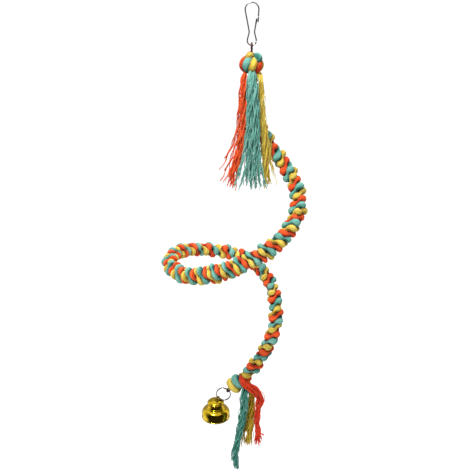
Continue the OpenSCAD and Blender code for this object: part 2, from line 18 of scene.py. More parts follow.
import bpy
import numpy as np
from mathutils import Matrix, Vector

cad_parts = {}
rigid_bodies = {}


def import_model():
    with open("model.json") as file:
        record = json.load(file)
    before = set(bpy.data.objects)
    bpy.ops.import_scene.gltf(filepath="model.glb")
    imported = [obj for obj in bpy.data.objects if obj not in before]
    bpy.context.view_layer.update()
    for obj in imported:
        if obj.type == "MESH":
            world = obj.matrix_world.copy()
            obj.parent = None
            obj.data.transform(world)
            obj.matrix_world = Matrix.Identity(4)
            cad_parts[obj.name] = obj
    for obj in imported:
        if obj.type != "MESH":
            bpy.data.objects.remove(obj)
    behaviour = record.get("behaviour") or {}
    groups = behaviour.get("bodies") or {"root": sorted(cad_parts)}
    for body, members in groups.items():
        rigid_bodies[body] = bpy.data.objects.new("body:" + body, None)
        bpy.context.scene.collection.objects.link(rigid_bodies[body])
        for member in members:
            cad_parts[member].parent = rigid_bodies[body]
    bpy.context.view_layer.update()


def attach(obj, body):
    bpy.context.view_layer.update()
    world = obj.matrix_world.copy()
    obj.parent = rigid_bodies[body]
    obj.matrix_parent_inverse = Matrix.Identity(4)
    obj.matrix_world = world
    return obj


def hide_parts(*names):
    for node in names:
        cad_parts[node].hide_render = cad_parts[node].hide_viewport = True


LOG = logging.getLogger("perch")
MM = 0.001
Array = np.ndarray
UP = np.array([0.0, 0.0, 1.0])
DEPTH = np.array([0.0, 1.0, 0.0])


# Plain geometry


def unit(v: Array) -> Array:
    """Scales a vector, or each row of vectors, to length one."""
    return v / np.linalg.norm(v, axis=-1, keepdims=True)


def across_to(v: Array, tangent: Array) -> Array:
    """Returns the part of v that is square to the tangent, at length one."""
    return unit(v - np.dot(v, tangent) * tangent)


def ray(degrees: float) -> Array:
    """Returns the direction at an angle in a plane, as two numbers."""
    return np.array([math.cos(math.radians(degrees)), math.sin(math.radians(degrees))])


def smooth(x: Array) -> Array:
    """Eases values between zero and one with flat ends."""
    t = np.clip(x, 0.0, 1.0)
    return t * t * (3.0 - 2.0 * t)


def b_spline(rows: Array, t: Array) -> Array:
    """Evaluates a natural uniform cubic B-spline.

    Args:
        rows: control rows, one a line, of any width.
        t: places from zero to the last row's number.

    Returns:
        One row for each place.
    """
    last = len(rows) - 1
    ext = np.vstack([2 * rows[0] - rows[1], rows, 2 * rows[-1] - rows[-2]])
    i = np.clip(np.floor(t).astype(int), 0, last - 1)
    f = (t - i)[:, None]
    return (
        ext[i] * (1 - f) ** 3
        + ext[i + 1] * (3 * f**3 - 6 * f**2 + 4)
        + ext[i + 2] * (3 * f * (1 + f - f**2) + 1)
        + ext[i + 3] * f**3
    ) / 6


def travelled(points: Array) -> Array:
    """Returns the length from the first of some points to each."""
    steps = np.linalg.norm(np.diff(points, axis=0), axis=1)
    return np.concatenate([[0.0], np.cumsum(steps)])


def rows_at(x: Array, places: Array, rows: Array) -> Array:
    """Reads rows of numbers at x, between the places that they stand at."""
    return np.column_stack([np.interp(x, places, column) for column in rows.T])


@dataclass
class Run:
    """Points along a path with a frame at each.

    Args:
        points: the path's points.
        side: unit vectors square to the path, turned as little as possible.
        other: unit vectors square to both.
        tangent: unit vectors along the path.
    """

    points: Array
    side: Array
    other: Array
    tangent: Array

    @classmethod
    def through(cls, points: Array, first: Sequence[float]) -> "Run":
        """Carries a frame along points.

        Args:
            points: the path's points.
            first: a direction near the first side vector.

        Returns:
            The points with their frames.
        """
        ahead = np.vstack([points[1:], points[-1:]])
        behind = np.vstack([points[:1], points[:-1]])
        tangent = unit(ahead - behind)
        side = np.zeros_like(points)
        side[0] = across_to(np.array(first, float), tangent[0])
        for i in range(1, len(points)):
            side[i] = across_to(side[i - 1], tangent[i])
        return cls(points, side, np.cross(tangent, side), tangent)

    def lengths(self) -> Array:
        """Returns the length from the path's start to each point."""
        return travelled(self.points)


def arc(centre: Array, r: float, start: float, end: float, steps: int) -> Array:
    """Returns points on an arc in a plane, by angles in degrees.

    Args:
        centre: the arc's centre, as two numbers.
        r: its radius.
        start: angle of the first point.
        end: angle of the last point.
        steps: number of steps between them.

    Returns:
        One point a row.
    """
    return np.array([centre + r * ray(a) for a in np.linspace(start, end, steps + 1)])


def hoop(centre: Array, r: float, start: Array, side: Array, steps: int) -> Array:
    """Returns points once round a ring and back to the first.

    Args:
        centre: the ring's middle.
        r: its radius.
        start: unit vector from the middle to the first point.
        side: unit vector in the ring's plane, square to that.
        steps: number of steps round it.

    Returns:
        One point a row.
    """
    a = np.linspace(0, 2 * math.pi, steps + 1)
    return centre + r * (np.cos(a)[:, None] * start + np.sin(a)[:, None] * side)


def upright(points: Array, y: float = 0.0) -> Array:
    """Puts points of a plane into the XZ plane at a depth."""
    return np.column_stack([points[:, 0], np.full(len(points), y), points[:, 1]])


def new_object(name: str, mesh: bpy.types.Mesh) -> bpy.types.Object:
    """Links a mesh into the scene as an object at the origin."""
    obj = bpy.data.objects.new(name, mesh)
    bpy.context.scene.collection.objects.link(obj)
    return obj


def carry(mesh: bpy.types.Mesh, **layers: Array) -> None:
    """Stores values on a mesh's points.

    Args:
        mesh: the mesh.
        layers: by name, one number or one vector for each point.
    """
    for name, values in layers.items():
        data = np.asarray(values, np.float32)
        kind, key = ("FLOAT", "value") if data.ndim == 1 else ("FLOAT_VECTOR", "vector")
        mesh.attributes.new(name, kind, "POINT").data.foreach_set(key, data.ravel())


def mesh_from(
    name: str, points: Array, faces: Sequence[Sequence[int]], material: bpy.types.Material
) -> bpy.types.Object:
    """Builds a smooth mesh object.

    Args:
        name: the object's name.
        points: its vertices.
        faces: its faces, counter-clockwise from outside.
        material: its finish.

    Returns:
        The new object.
    """
    mesh = bpy.data.meshes.new(name)
    mesh.from_pydata([tuple(p) for p in points], [], [tuple(f) for f in faces])
    mesh.materials.append(material)
    mesh.shade_smooth()
    mesh.update()
    return new_object(name, mesh)


def loft(rings: Array, closed: bool = False) -> tuple[Array, list[tuple[int, ...]]]:
    """Joins equal rings of points into a tube with a fan over each end.

    Args:
        rings: an array of rings, points and coordinates. The rings turn
            counter-clockwise as seen from the tube's end.
        closed: whether the last ring joins the first.

    Returns:
        The points and the faces.
    """
    m, n = rings.shape[:2]
    points = rings.reshape(-1, 3)
    faces: list[tuple[int, ...]] = []
    for i in range(m if closed else m - 1):
        a, b = i * n, ((i + 1) % m) * n
        faces += [(a + j, a + (j + 1) % n, b + (j + 1) % n, b + j) for j in range(n)]
    if not closed:
        points = np.vstack([points, rings[0].mean(axis=0), rings[-1].mean(axis=0)])
        head, tail, start = m * n, m * n + 1, (m - 1) * n
        faces += [(head, (j + 1) % n, j) for j in range(n)]
        faces += [(tail, start + j, start + (j + 1) % n) for j in range(n)]
    return points, faces


def spun(profile: Array, centre: Array, sides: int) -> tuple[Array, list[tuple[int, ...]]]:
    """Spins a closed outline of radius and height round an upright axis.

    Args:
        profile: the outline, clockwise as seen with radius to the right and height up.
        centre: where the axis meets height zero.
        sides: faces round the axis.

    Returns:
        The points and the faces.
    """
    rings = [
        [centre + np.array([r * math.cos(a), r * math.sin(a), z]) for r, z in profile]
        for a in np.linspace(0, 2 * math.pi, sides, endpoint=False)
    ]
    return loft(np.array(rings), closed=True)


# Node trees


class Nodes:
    """A node tree under construction, with short ways to add and link nodes."""

    def __init__(self, tree: bpy.types.NodeTree) -> None:
        """Takes the tree and clears it."""
        self.tree = tree
        self.tree.nodes.clear()

    def link(self, out: bpy.types.NodeSocket, into: bpy.types.NodeSocket) -> None:
        """Links two sockets."""
        self.tree.links.new(out, into)

    def add(self, kind: str, inputs: Optional[dict] = None, **values: object) -> bpy.types.Node:
        """Adds a node, sets its properties and feeds its inputs.

        Args:
            kind: the node's type name.
            inputs: input names or numbers, each with a socket or a constant.
            values: the node's properties.

        Returns:
            The node.
        """
        node = self.tree.nodes.new(kind)
        for key, value in values.items():
            setattr(node, key, value)
        for key, value in (inputs or {}).items():
            if isinstance(value, bpy.types.NodeSocket):
                self.link(value, node.inputs[key])
            else:
                node.inputs[key].default_value = value
        return node

    def maths(self, operation: str, *terms: object) -> bpy.types.NodeSocket:
        """Applies one of the Math node's operations."""
        return self.add("ShaderNodeMath", dict(enumerate(terms)), operation=operation).outputs[0]

    def plus(self, a: object, b: object) -> bpy.types.NodeSocket:
        """Adds two numbers."""
        return self.maths("ADD", a, b)

    def minus(self, a: object, b: object) -> bpy.types.NodeSocket:
        """Takes the second number from the first."""
        return self.maths("SUBTRACT", a, b)

    def times(self, a: object, b: object) -> bpy.types.NodeSocket:
        """Multiplies two numbers."""
        return self.maths("MULTIPLY", a, b)

    def vector(self, x: object, y: object, z: object) -> bpy.types.NodeSocket:
        """Joins three numbers or sockets into a vector."""
        return self.add("ShaderNodeCombineXYZ", {"X": x, "Y": y, "Z": z}).outputs["Vector"]

    def vectors(self, operation: str, *terms: object) -> bpy.types.NodeSocket:
        """Applies one of the Vector Math node's operations."""
        return self.add("ShaderNodeVectorMath", dict(enumerate(terms)), operation=operation).outputs[0]

    def mixed(self, share: object, first: object, second: object) -> bpy.types.NodeSocket:
        """Mixes two shaders by a share."""
        return self.add("ShaderNodeMixShader", {0: share, 1: first, 2: second}).outputs[0]

    def seen(self) -> bpy.types.NodeSocket:
        """Returns one for rays that see the background: camera, glossy and transmitted."""
        path = self.add("ShaderNodeLightPath").outputs
        direct = self.maths("MAXIMUM", path["Is Camera Ray"], path["Is Glossy Ray"])
        return self.maths("MAXIMUM", direct, path["Is Transmission Ray"])


# Finishes


def linear(code: str) -> tuple[float, float, float, float]:
    """Turns an sRGB hex colour into the linear colour that shaders take."""
    parts = [int(code[i : i + 2], 16) / 255 for i in (1, 3, 5)]
    low = [c / 12.92 if c <= 0.04045 else ((c + 0.055) / 1.055) ** 2.4 for c in parts]
    return (low[0], low[1], low[2], 1.0)


class Shading(Nodes):
    """A material under construction."""

    def __init__(self, name: str) -> None:
        """Makes a node material with a Principled shader.

        Args:
            name: the material's name.
        """
        self.material = bpy.data.materials.new(name)
        self.material.use_nodes = True
        super().__init__(self.material.node_tree)
        self.shader = self.add("ShaderNodeBsdfPrincipled")
        self.output = self.add("ShaderNodeOutputMaterial", {"Surface": self.shader.outputs["BSDF"]})

    def look(self, **inputs: object) -> None:
        """Feeds the shader's inputs.

        Args:
            inputs: a socket or a constant by name, with low lines for the blanks.
        """
        for key, value in inputs.items():
            socket = self.shader.inputs[key.replace("_", " ")]
            if isinstance(value, bpy.types.NodeSocket):
                self.link(value, socket)
            else:
                socket.default_value = value

    def attribute(self, name: str) -> bpy.types.NodeSocket:
        """Reads one number that the mesh carries under a name."""
        return self.add("ShaderNodeAttribute", attribute_name=name).outputs["Fac"]

    def place(self) -> bpy.types.NodeSocket:
        """Returns the object's own coordinates."""
        return self.add("ShaderNodeTexCoord").outputs["Object"]

    def round_way(self, wave: str, turns: object, reach: float) -> bpy.types.NodeSocket:
        """Returns a sine or cosine of a number of turns, times a reach."""
        return self.times(self.maths(wave, self.times(turns, 2 * math.pi)), reach)

    def noise(
        self, vector: bpy.types.NodeSocket, scale: float, detail: float = 2.0, rough: float = 0.5
    ) -> bpy.types.NodeSocket:
        """Returns a noise pattern of about zero to one."""
        inputs = {"Vector": vector, "Scale": scale, "Detail": detail, "Roughness": rough}
        return self.add("ShaderNodeTexNoise", inputs).outputs["Fac"]

    def spread(
        self, value: bpy.types.NodeSocket, low: float, high: float, to_low: float, to_high: float
    ) -> bpy.types.NodeSocket:
        """Maps a value from one range to another, clamped."""
        inputs = dict(enumerate((value, low, high, to_low, to_high)))
        return self.add("ShaderNodeMapRange", inputs).outputs[0]

    def blend(self, share: object, a: object, b: object) -> bpy.types.NodeSocket:
        """Mixes two colours by a share."""
        return self.add("ShaderNodeMix", {0: share, 6: a, 7: b}, data_type="RGBA").outputs[2]

    def bump(self, height: bpy.types.NodeSocket, depth: float, strength: float = 1.0) -> None:
        """Adds a relief over any relief that is there.

        Args:
            height: the pattern, from zero to one.
            depth: its real depth.
            strength: share of it that shows.
        """
        inputs = {"Strength": strength, "Distance": depth, "Height": height}
        normal = self.shader.inputs["Normal"]
        if normal.is_linked:
            inputs["Normal"] = normal.links[0].from_socket
        self.link(self.add("ShaderNodeBump", inputs).outputs["Normal"], normal)


@dataclass(frozen=True)
class CottonFinish:
    """Soft dyed cotton roving: matt, furry, streaked along its fibres.

    Args:
        name: the material's name.
        dye: the cord's middle colour.
        pale: its colour where the dye took less, and the painted highlight on the crests.
        deep: its colour on darker yarns and streaks, and the painted shade down between the yarns.
    """

    name: str
    dye: str
    pale: str
    deep: str

    def material(self) -> bpy.types.Material:
        """Builds the cotton from each yarn's own tint, its run and the way round it.

        Returns:
            The material.
        """
        s = Shading(self.name)
        run, tint, around, crest = map(s.attribute, ("run", "tint", "around", "crest"))
        pale, deep = linear(self.pale), linear(self.deep)
        twist = s.plus(around, s.times(run, 90.0))
        fibre = s.vector(s.times(run, 160.0), s.round_way("SINE", twist, 2.4), s.times(tint, 37.0))
        streak = s.noise(fibre, 1.0, 4.0, 0.65)
        fade = s.plus(s.times(tint, 0.5), s.times(s.noise(s.place(), 70.0), 0.5))
        body = s.blend(s.spread(fade, 0.35, 0.85, 0.0, 0.5), linear(self.dye), pale)
        body = s.blend(s.spread(tint, 0.0, 0.4, 0.5, 0.0), body, deep)
        body = s.blend(s.spread(streak, 0.3, 0.52, 0.6, 0.0), body, deep)
        body = s.blend(s.spread(streak, 0.55, 0.8, 0.0, 0.35), body, pale)
        # painted highlight on the crests and painted shade down in the folds, by how far out each yarn lies
        body = s.blend(s.spread(crest, 0.75, 1.0, 0.0, 0.12), body, pale)
        body = s.blend(s.spread(crest, 0.0, 0.75, 0.85, 0.0), body, deep)
        s.look(Base_Color=body, Roughness=0.92, Specular_IOR_Level=0.2)
        s.look(Sheen_Weight=0.06, Sheen_Roughness=0.6)
        s.bump(streak, 0.16 * MM, 0.7)
        s.bump(s.noise(s.place(), 2600.0), 0.04 * MM, 0.5)
        return s.material


@dataclass(frozen=True)
class WireFinish:
    """Drawn metal wire with faint lengthwise draw marks and handling smudges.

    Args:
        name: the material's name.
        metal: its colour.
        roughness: how dull it is.
        dulling: how much duller it gets in smudges.
        metallic: one for bare metal, less for a coating.
        scratch: depth of the draw marks.
        rubbed: length from its start that is darkened with painted shade.
    """

    name: str
    metal: str
    roughness: float
    dulling: float
    metallic: float = 1.0
    scratch: float = 0.004 * MM
    rubbed: float = 0.0

    def material(self) -> bpy.types.Material:
        """Builds the wire from the way round and along it.

        Returns:
            The material.
        """
        s = Shading(self.name)
        run, around = map(s.attribute, ("run", "around"))
        sine, cosine = (s.round_way(wave, around, 9.0) for wave in ("SINE", "COSINE"))
        lines = s.noise(s.vector(s.times(run, 60.0), sine, cosine), 1.0, 3.0)
        smudge = s.noise(s.place(), 420.0, 3.0)
        worn = s.spread(smudge, 0.35, 0.7, self.roughness, self.roughness + self.dulling)
        metal = linear(self.metal)
        dim = tuple(c * 0.72 for c in metal[:3]) + (1.0,)
        body = s.blend(s.spread(lines, 0.35, 0.6, 0.5, 0.0), metal, dim)
        # painted shade: the wire darkens towards its start
        if self.rubbed > 0.0:
            tip_shade = s.spread(run, self.rubbed * 0.85, self.rubbed, 0.92, 0.0)
            body = s.blend(tip_shade, body, linear("#1C1C1A"))
        s.look(Base_Color=body, Roughness=worn, Metallic=self.metallic)
        s.bump(lines, self.scratch)
        return s.material


@dataclass(frozen=True)
class BellFinish:
    """Spun sheet metal under bright gold plating.

    Args:
        name: the material's name.
        gold: the plating's colour.
        tarnish: its colour on worn spots.
        axis: where the bell's axis stands, as X and Y.
    """

    name: str
    gold: str
    tarnish: str
    axis: tuple[float, float]

    def material(self) -> bpy.types.Material:
        """Builds fine spinning rings round the axis and a slight unevenness.

        Returns:
            The material.
        """
        s = Shading(self.name)
        shift = s.vectors("SUBTRACT", s.place(), (*self.axis, 0.0))
        x, y, z = s.add("ShaderNodeSeparateXYZ", {0: shift}).outputs
        radius = s.maths("SQRT", s.plus(s.times(x, x), s.times(y, y)))
        rings = s.noise(s.vector(radius, z, 0.0), 2800.0)
        wobble = s.noise(s.place(), 170.0, 1.0)
        spots = s.noise(s.place(), 900.0, 4.0)
        worn = s.spread(spots, 0.6, 0.8, 0.0, 0.35)
        plated = s.blend(worn, linear(self.gold), linear(self.tarnish))
        s.look(Base_Color=plated, Roughness=s.spread(spots, 0.4, 0.75, 0.07, 0.2), Metallic=1.0)
        s.bump(wobble, 0.12 * MM, 0.5)
        s.bump(rings, 0.002 * MM, 0.6)
        return s.material


class Dye(Enum):
    """The three colours of cord."""

    # each cotton's pale colour also serves as its painted highlight, and its deep colour as its painted
    # shade
    TEAL = CottonFinish("teal_cotton", "#6EBAA8", "#B2D9D2", "#25675B")
    YELLOW = CottonFinish("yellow_cotton", "#EFCE48", "#FAF392", "#967428")
    ORANGE = CottonFinish("orange_cotton", "#F54C1A", "#FF9A52", "#9E240E")


# Darker, more saturated copies of the three cottons, for the lower tassels
TEAL_DEEP = CottonFinish("teal_cotton_deep", "#409582", "#84C4B6", "#174A41")
YELLOW_DEEP = CottonFinish("yellow_cotton_deep", "#CFAC28", "#EAD04A", "#7E5E10")
ORANGE_DEEP = CottonFinish("orange_cotton_deep", "#F23414", "#FF7A46", "#940E06")


# Bright zinc-plated spring wire of the snap hook
# Its tips are darkened with painted shade where the gate's tip and the nose lie together
HOOK_STEEL = WireFinish("hook_spring_steel", "#CCCCC8", 0.26, 0.14, rubbed=4.9 * MM)
# Dark brown varnish over the bendable steel core
CORE_COAT = WireFinish("core_dark_varnish", "#45201F", 0.34, 0.2, 0.55)
# Nickel-plated split ring
RING_NICKEL = WireFinish("ring_nickel", "#9C9CA0", 0.16, 0.12)
# Darkened wire of the bell's loop
LOOP_WIRE = WireFinish("bell_loop_wire", "#8C7A32", 0.22, 0.18)
# Blackened steel of the clapper
CLAPPER_STEEL = WireFinish("clapper_black_steel", "#4A4440", 0.3, 0.2)


# Geometry trees


class Tree(Nodes):
    """A Geometry Nodes tree under construction."""

    def __init__(self, name: str) -> None:
        """Starts a tree with a geometry input and output.

        Args:
            name: the tree's name.
        """
        super().__init__(bpy.data.node_groups.new(name, "GeometryNodeTree"))
        self.ids: dict[str, str] = {}
        for way in ("INPUT", "OUTPUT"):
            self.tree.interface.new_socket("Geometry", in_out=way, socket_type="NodeSocketGeometry")
        self.start = self.add("NodeGroupInput")
        self.end = self.add("NodeGroupOutput")

    def ask(self, name: str, kind: str) -> bpy.types.NodeSocket:
        """Adds a named input and returns its socket inside the tree."""
        item = self.tree.interface.new_socket(name, in_out="INPUT", socket_type="NodeSocket" + kind)
        self.ids[name] = item.identifier
        return self.start.outputs[name]

    def scaled(self, vector: object, factor: object) -> bpy.types.NodeSocket:
        """Multiplies a vector by a number."""
        node = self.add("ShaderNodeVectorMath", {0: vector, "Scale": factor}, operation="SCALE")
        return node.outputs[0]

    def named(self, name: str, kind: str = "FLOAT") -> bpy.types.NodeSocket:
        """Reads an attribute that the input carries."""
        node = self.add("GeometryNodeInputNamedAttribute", {"Name": name}, data_type=kind)
        return node.outputs["Attribute"]

    def keep(
        self, geometry: bpy.types.NodeSocket, name: str, value: object, domain: str
    ) -> bpy.types.NodeSocket:
        """Stores a number on the geometry under a name.

        Args:
            geometry: what carries it.
            name: its name.
            value: a socket with its value.
            domain: whether each point or each curve has its own.

        Returns:
            The geometry with the number.
        """
        node = self.add(
            "GeometryNodeStoreNamedAttribute",
            {"Geometry": geometry, "Name": name, "Value": value},
            data_type="FLOAT",
            domain=domain,
        )
        return node.outputs["Geometry"]

    def random(self, low: float, high: float, index: object, seed: object) -> bpy.types.NodeSocket:
        """Returns a random number that depends on an index and a seed alone."""
        inputs = {2: low, 3: high, 7: index, 8: seed}
        return self.add("FunctionNodeRandomValue", inputs, data_type="FLOAT").outputs[1]

    def circle(self, sides: object) -> bpy.types.NodeSocket:
        """Returns a circle of radius one, as a profile to sweep."""
        inputs = {"Resolution": sides, "Radius": 1.0}
        return self.add("GeometryNodeCurvePrimitiveCircle", inputs, mode="RADIUS").outputs["Curve"]

    def finish(self, geometry: bpy.types.NodeSocket, material: bpy.types.NodeSocket) -> None:
        """Ends the tree in smooth shading, Realize Instances and Set Material."""
        for kind in ("GeometryNodeSetShadeSmooth", "GeometryNodeRealizeInstances"):
            geometry = self.add(kind, {"Geometry": geometry}).outputs["Geometry"]
        done = self.add("GeometryNodeSetMaterial", {"Geometry": geometry, "Material": material})
        self.link(done.outputs["Geometry"], self.end.inputs["Geometry"])


@dataclass(frozen=True)
class Lay:
    """How the yarns of a bundle lie. Each of its fields is an input of the yarn tree.

    Args:
        yarns: number of yarns.
        radius: radius of one yarn.
        sides: faces round one yarn.
        twist: radians that the yarns turn in a metre.
        filled: one for yarns all through the bundle, zero for its skin alone.
        wave: how far a loose yarn strays.
        waves: waves in a metre.
        fray: share of the length that the shortest yarn lacks.
        cells: clumps of yarns across half the bundle.
        gather: how far yarns draw together into clumps.
        crimp: height of the curls that a clump keeps from its twist.
        crimps: such curls in a metre.
    """

    yarns: int
    radius: float
    sides: int
    twist: float = 0.0
    filled: float = 0.0
    wave: float = 0.0
    waves: float = 100.0
    fray: float = 0.0
    cells: float = 1.0
    gather: float = 0.0
    crimp: float = 0.0
    crimps: float = 100.0


class YarnTree(Tree):
    """Lays yarns along a line that carries how far the bundle reaches each way.

    The line's points carry the vectors "out" and "across", which reach from the bundle's
    middle to its skin, "run", the length so far, and "swell", the yarns' girth.
    """

    GOLDEN_ANGLE = 2.399963

    def __init__(self) -> None:
        """Builds the tree once for all bundles."""
        super().__init__("yarns_along_a_line")
        ask = {item.name: self.ask(item.name, item.type.capitalize()) for item in fields(Lay)}
        count, filled, wave = ask["yarns"], ask["filled"], ask["wave"]
        seed = self.ask("seed", "Int")
        material = self.ask("material", "Material")

        line = self.add("GeometryNodeMeshToCurve", {"Mesh": self.start.outputs["Geometry"]})
        copies = {"Geometry": line.outputs["Curve"], "Amount": count}
        many = self.add("GeometryNodeDuplicateElements", copies, domain="SPLINE")
        geometry = self.keep(many.outputs["Geometry"], "yarn", many.outputs["Duplicate Index"], "CURVE")
        yarn, run, slack = map(self.named, ("yarn", "run", "slack"))
        out, across = (self.named(name, "FLOAT_VECTOR") for name in ("out", "across"))
        hollow = self.minus(1.0, filled)

        # each yarn's place in the bundle's section, drawn towards the middle of its clump
        share = self.maths("DIVIDE", self.plus(yarn, 0.5), count)
        reach = self.plus(self.times(filled, self.maths("SQRT", share)), hollow)
        golden, even = self.times(yarn, self.GOLDEN_ANGLE), self.times(share, 2 * math.pi)
        start = self.plus(self.times(filled, golden), self.times(hollow, even))
        clump: object = seed
        flat = []
        for step, turned in (("COSINE", 17.0), ("SINE", 5.0)):
            spot = self.times(reach, self.maths(step, start))
            cell = self.maths("FLOOR", self.times(spot, ask["cells"]))
            centre = self.maths("DIVIDE", self.plus(cell, 0.5), ask["cells"])
            pull = self.times(self.minus(centre, spot), self.times(ask["gather"], slack))
            flat.append(self.plus(spot, pull))
            clump = self.plus(clump, self.times(cell, turned))
        lay = self.times(run, ask["twist"])
        cos, sin = self.maths("COSINE", lay), self.maths("SINE", lay)
        on_out = self.minus(self.times(flat[0], cos), self.times(flat[1], sin))
        on_across = self.plus(self.times(flat[0], sin), self.times(flat[1], cos))
        shift = self.vectors("ADD", self.scaled(out, on_out), self.scaled(across, on_across))

        # the curls that a clump keeps, and the free waves of each yarn
        first = self.random(0.0, 2 * math.pi, clump, self.plus(seed, 21))
        curl = self.plus(self.times(run, self.times(ask["crimps"], 2 * math.pi)), first)
        curl = self.plus(curl, self.random(-0.7, 0.7, yarn, self.plus(seed, 22)))
        for way, step in ((out, "COSINE"), (across, "SINE")):
            amount = self.times(self.times(ask["crimp"], slack), self.maths(step, curl))
            shift = self.vectors("ADD", shift, self.scaled(self.vectors("NORMALIZE", way), amount))
        family = self.plus(self.times(clump, 3.71), self.times(yarn, 0.23))
        where = self.vector(self.times(run, ask["waves"]), family, seed)
        inputs = {"Vector": where, "Scale": 1.0, "Detail": 1.0, "Roughness": 0.5}
        sway = self.add("ShaderNodeTexNoise", inputs)
        centred = self.vectors("SUBTRACT", sway.outputs["Color"], (0.5, 0.5, 0.5))
        shift = self.vectors("ADD", shift, self.scaled(centred, self.times(wave, slack)))

        # how far out a yarn lies, at a cord's crest or at a tassel's skin, less its painted shade; the
        # cotton paints highlight and shade by it
        crest = self.plus(self.times(filled, reach), self.times(hollow, on_out))
        crest = self.minus(crest, self.times(self.named("dip"), 0.7))
        geometry = self.keep(geometry, "crest", crest, "POINT")
        moved = self.add("GeometryNodeSetPosition", {"Geometry": geometry, "Offset": shift})

        # ragged ends, and a tint and a girth for each yarn
        along = self.add("GeometryNodeSplineParameter").outputs["Factor"]
        limit = self.minus(1.0, self.times(ask["fray"], self.random(0.0, 1.0, yarn, seed)))
        lost = {"Geometry": moved.outputs["Geometry"], "Selection": self.maths("GREATER_THAN", along, limit)}
        geometry = self.add("GeometryNodeDeleteGeometry", lost, domain="POINT").outputs["Geometry"]
        tint = self.random(0.0, 1.0, yarn, self.plus(seed, 9))
        geometry = self.keep(geometry, "tint", tint, "CURVE")
        thick = self.times(ask["radius"], self.random(0.82, 1.12, yarn, self.plus(seed, 5)))
        girth = self.times(self.named("swell"), thick)
        profile = self.keep(self.circle(ask["sides"]), "around", along, "POINT")
        tube = {"Curve": geometry, "Profile Curve": profile, "Scale": girth, "Fill Caps": True}
        self.finish(self.add("GeometryNodeCurveToMesh", tube).outputs["Mesh"], material)


class LintTree(Tree):
    """Scatters short bent fibres over a mesh, standing a little off its surface."""

    def __init__(self) -> None:
        """Builds the tree once for all cords."""
        super().__init__("lint_on_yarn")
        density, length, radius = (self.ask(name, "Float") for name in ("density", "length", "radius"))
        seed = self.ask("seed", "Int")
        material = self.ask("material", "Material")
        skin = self.start.outputs["Geometry"]
        spots = self.add(
            "GeometryNodeDistributePointsOnFaces",
            {"Mesh": skin, "Density": density, "Seed": seed},
            distribute_method="RANDOM",
        )
        ends = {"Start": (0, 0, 0), "End": (1, 0, 0.45)}
        handles = {"Start Handle": (0.2, 0, 0.35), "End Handle": (0.5, 0.1, 0.6)}
        hair = self.add("GeometryNodeCurvePrimitiveBezierSegment", {"Resolution": 2, **ends, **handles})
        thick = self.maths("DIVIDE", radius, length)
        tube = {"Curve": hair.outputs["Curve"], "Profile Curve": self.circle(3), "Scale": thick}
        fibre = self.add("GeometryNodeCurveToMesh", tube)
        angles = {0: (0.0, 0.0, 0.0), 1: (0.0, 0.0, 2 * math.pi), 8: seed}
        spin = self.add("FunctionNodeRandomValue", angles, data_type="FLOAT_VECTOR").outputs[0]
        turns = {"Rotation": spots.outputs["Rotation"], "Rotate By": spin}
        turned = self.add("FunctionNodeRotateRotation", turns, rotation_space="LOCAL")
        size = self.add("FunctionNodeRandomValue", {2: 0.4, 3: 1.0, 8: seed}, data_type="FLOAT").outputs[1]
        placed = self.add(
            "GeometryNodeInstanceOnPoints",
            {
                "Points": spots.outputs["Points"],
                "Instance": fibre.outputs["Mesh"],
                "Rotation": turned.outputs["Rotation"],
                "Scale": self.times(length, size),
            },
        )
        whole = self.add("GeometryNodeJoinGeometry")
        for part in (placed.outputs["Instances"], skin):
            self.link(part, whole.inputs["Geometry"])
        self.finish(whole.outputs["Geometry"], material)


@dataclass
class Bundle:
    """A line that yarns follow, with how far they reach each way at each point.

    Args:
        points: the line's points.
        out: vectors from the bundle's middle to its skin, away from the core.
        across: the same, square to them.
        swell: the yarns' girth, one where it is full.
        slack: how freely the yarns wave, from zero to one.
        parts: number of points in each part, where the line has several.
        dip: how much painted shade its yarns get, from zero to one: where the bundle lies deep under its
            neighbours, and on the knot's lower parts.
    """

    points: Array
    out: Array
    across: Array
    swell: Array
    slack: Array
    parts: tuple[int, ...] = ()
    dip: Optional[Array] = None

    @classmethod
    def of(cls, several: Sequence["Bundle"]) -> "Bundle":
        """Joins bundles into one of several parts.

        Args:
            several: the bundles, in order.

        Returns:
            The joined bundle.
        """
        keys = ("points", "out", "across", "swell", "slack")
        joined = [np.concatenate([getattr(b, key) for b in several]) for key in keys]
        dip = np.concatenate([np.zeros(len(b.points)) if b.dip is None else b.dip for b in several])
        return cls(*joined, tuple(len(b.points) for b in several), dip)

    def line(self, name: str) -> bpy.types.Object:
        """Makes the line as a mesh of edges that carries its values.

        Args:
            name: the object's name.

        Returns:
            The new object.
        """
        n = len(self.points)
        ends = set(np.cumsum(self.parts or (n,)))
        edges = [(i - 1, i) for i in range(1, n) if i not in ends]
        mesh = bpy.data.meshes.new(name)
        mesh.from_pydata([tuple(p) for p in self.points], edges, [])
        dip = np.zeros(n) if self.dip is None else self.dip
        run = travelled(self.points)
        carry(mesh, out=self.out, across=self.across, run=run, swell=self.swell, slack=self.slack, dip=dip)
        return new_object(name, mesh)


def plain_mesh(source: bpy.types.Object, name: str) -> bpy.types.Object:
    """Turns an object's evaluated geometry into a plain mesh object of its own.

    Args:
        source: the object with its modifiers. It is removed.
        name: the new object's name.

    Returns:
        The new object.
    """
    graph = bpy.context.evaluated_depsgraph_get()
    mesh = bpy.data.meshes.new_from_object(source.evaluated_get(graph), depsgraph=graph)
    mesh.name = name
    old = source.data
    bpy.data.objects.remove(source)
    bpy.data.meshes.remove(old)
    return new_object(name, mesh)


def grown(
    source: bpy.types.Object, tree: Tree, values: dict[str, object], name: str
) -> bpy.types.Object:
    """Runs a tree on an object and keeps the result as a plain mesh.

    Args:
        source: the object that the tree starts from. It is removed.
        tree: the Geometry Nodes tree.
        values: a value for each of the tree's named inputs.
        name: the new object's name.

    Returns:
        The new object.
    """
    modifier = source.modifiers.new("grow", "NODES")
    modifier.node_group = tree.tree
    for key, value in values.items():
        modifier[tree.ids[key]] = value
    source.update_tag()
    return plain_mesh(source, name)


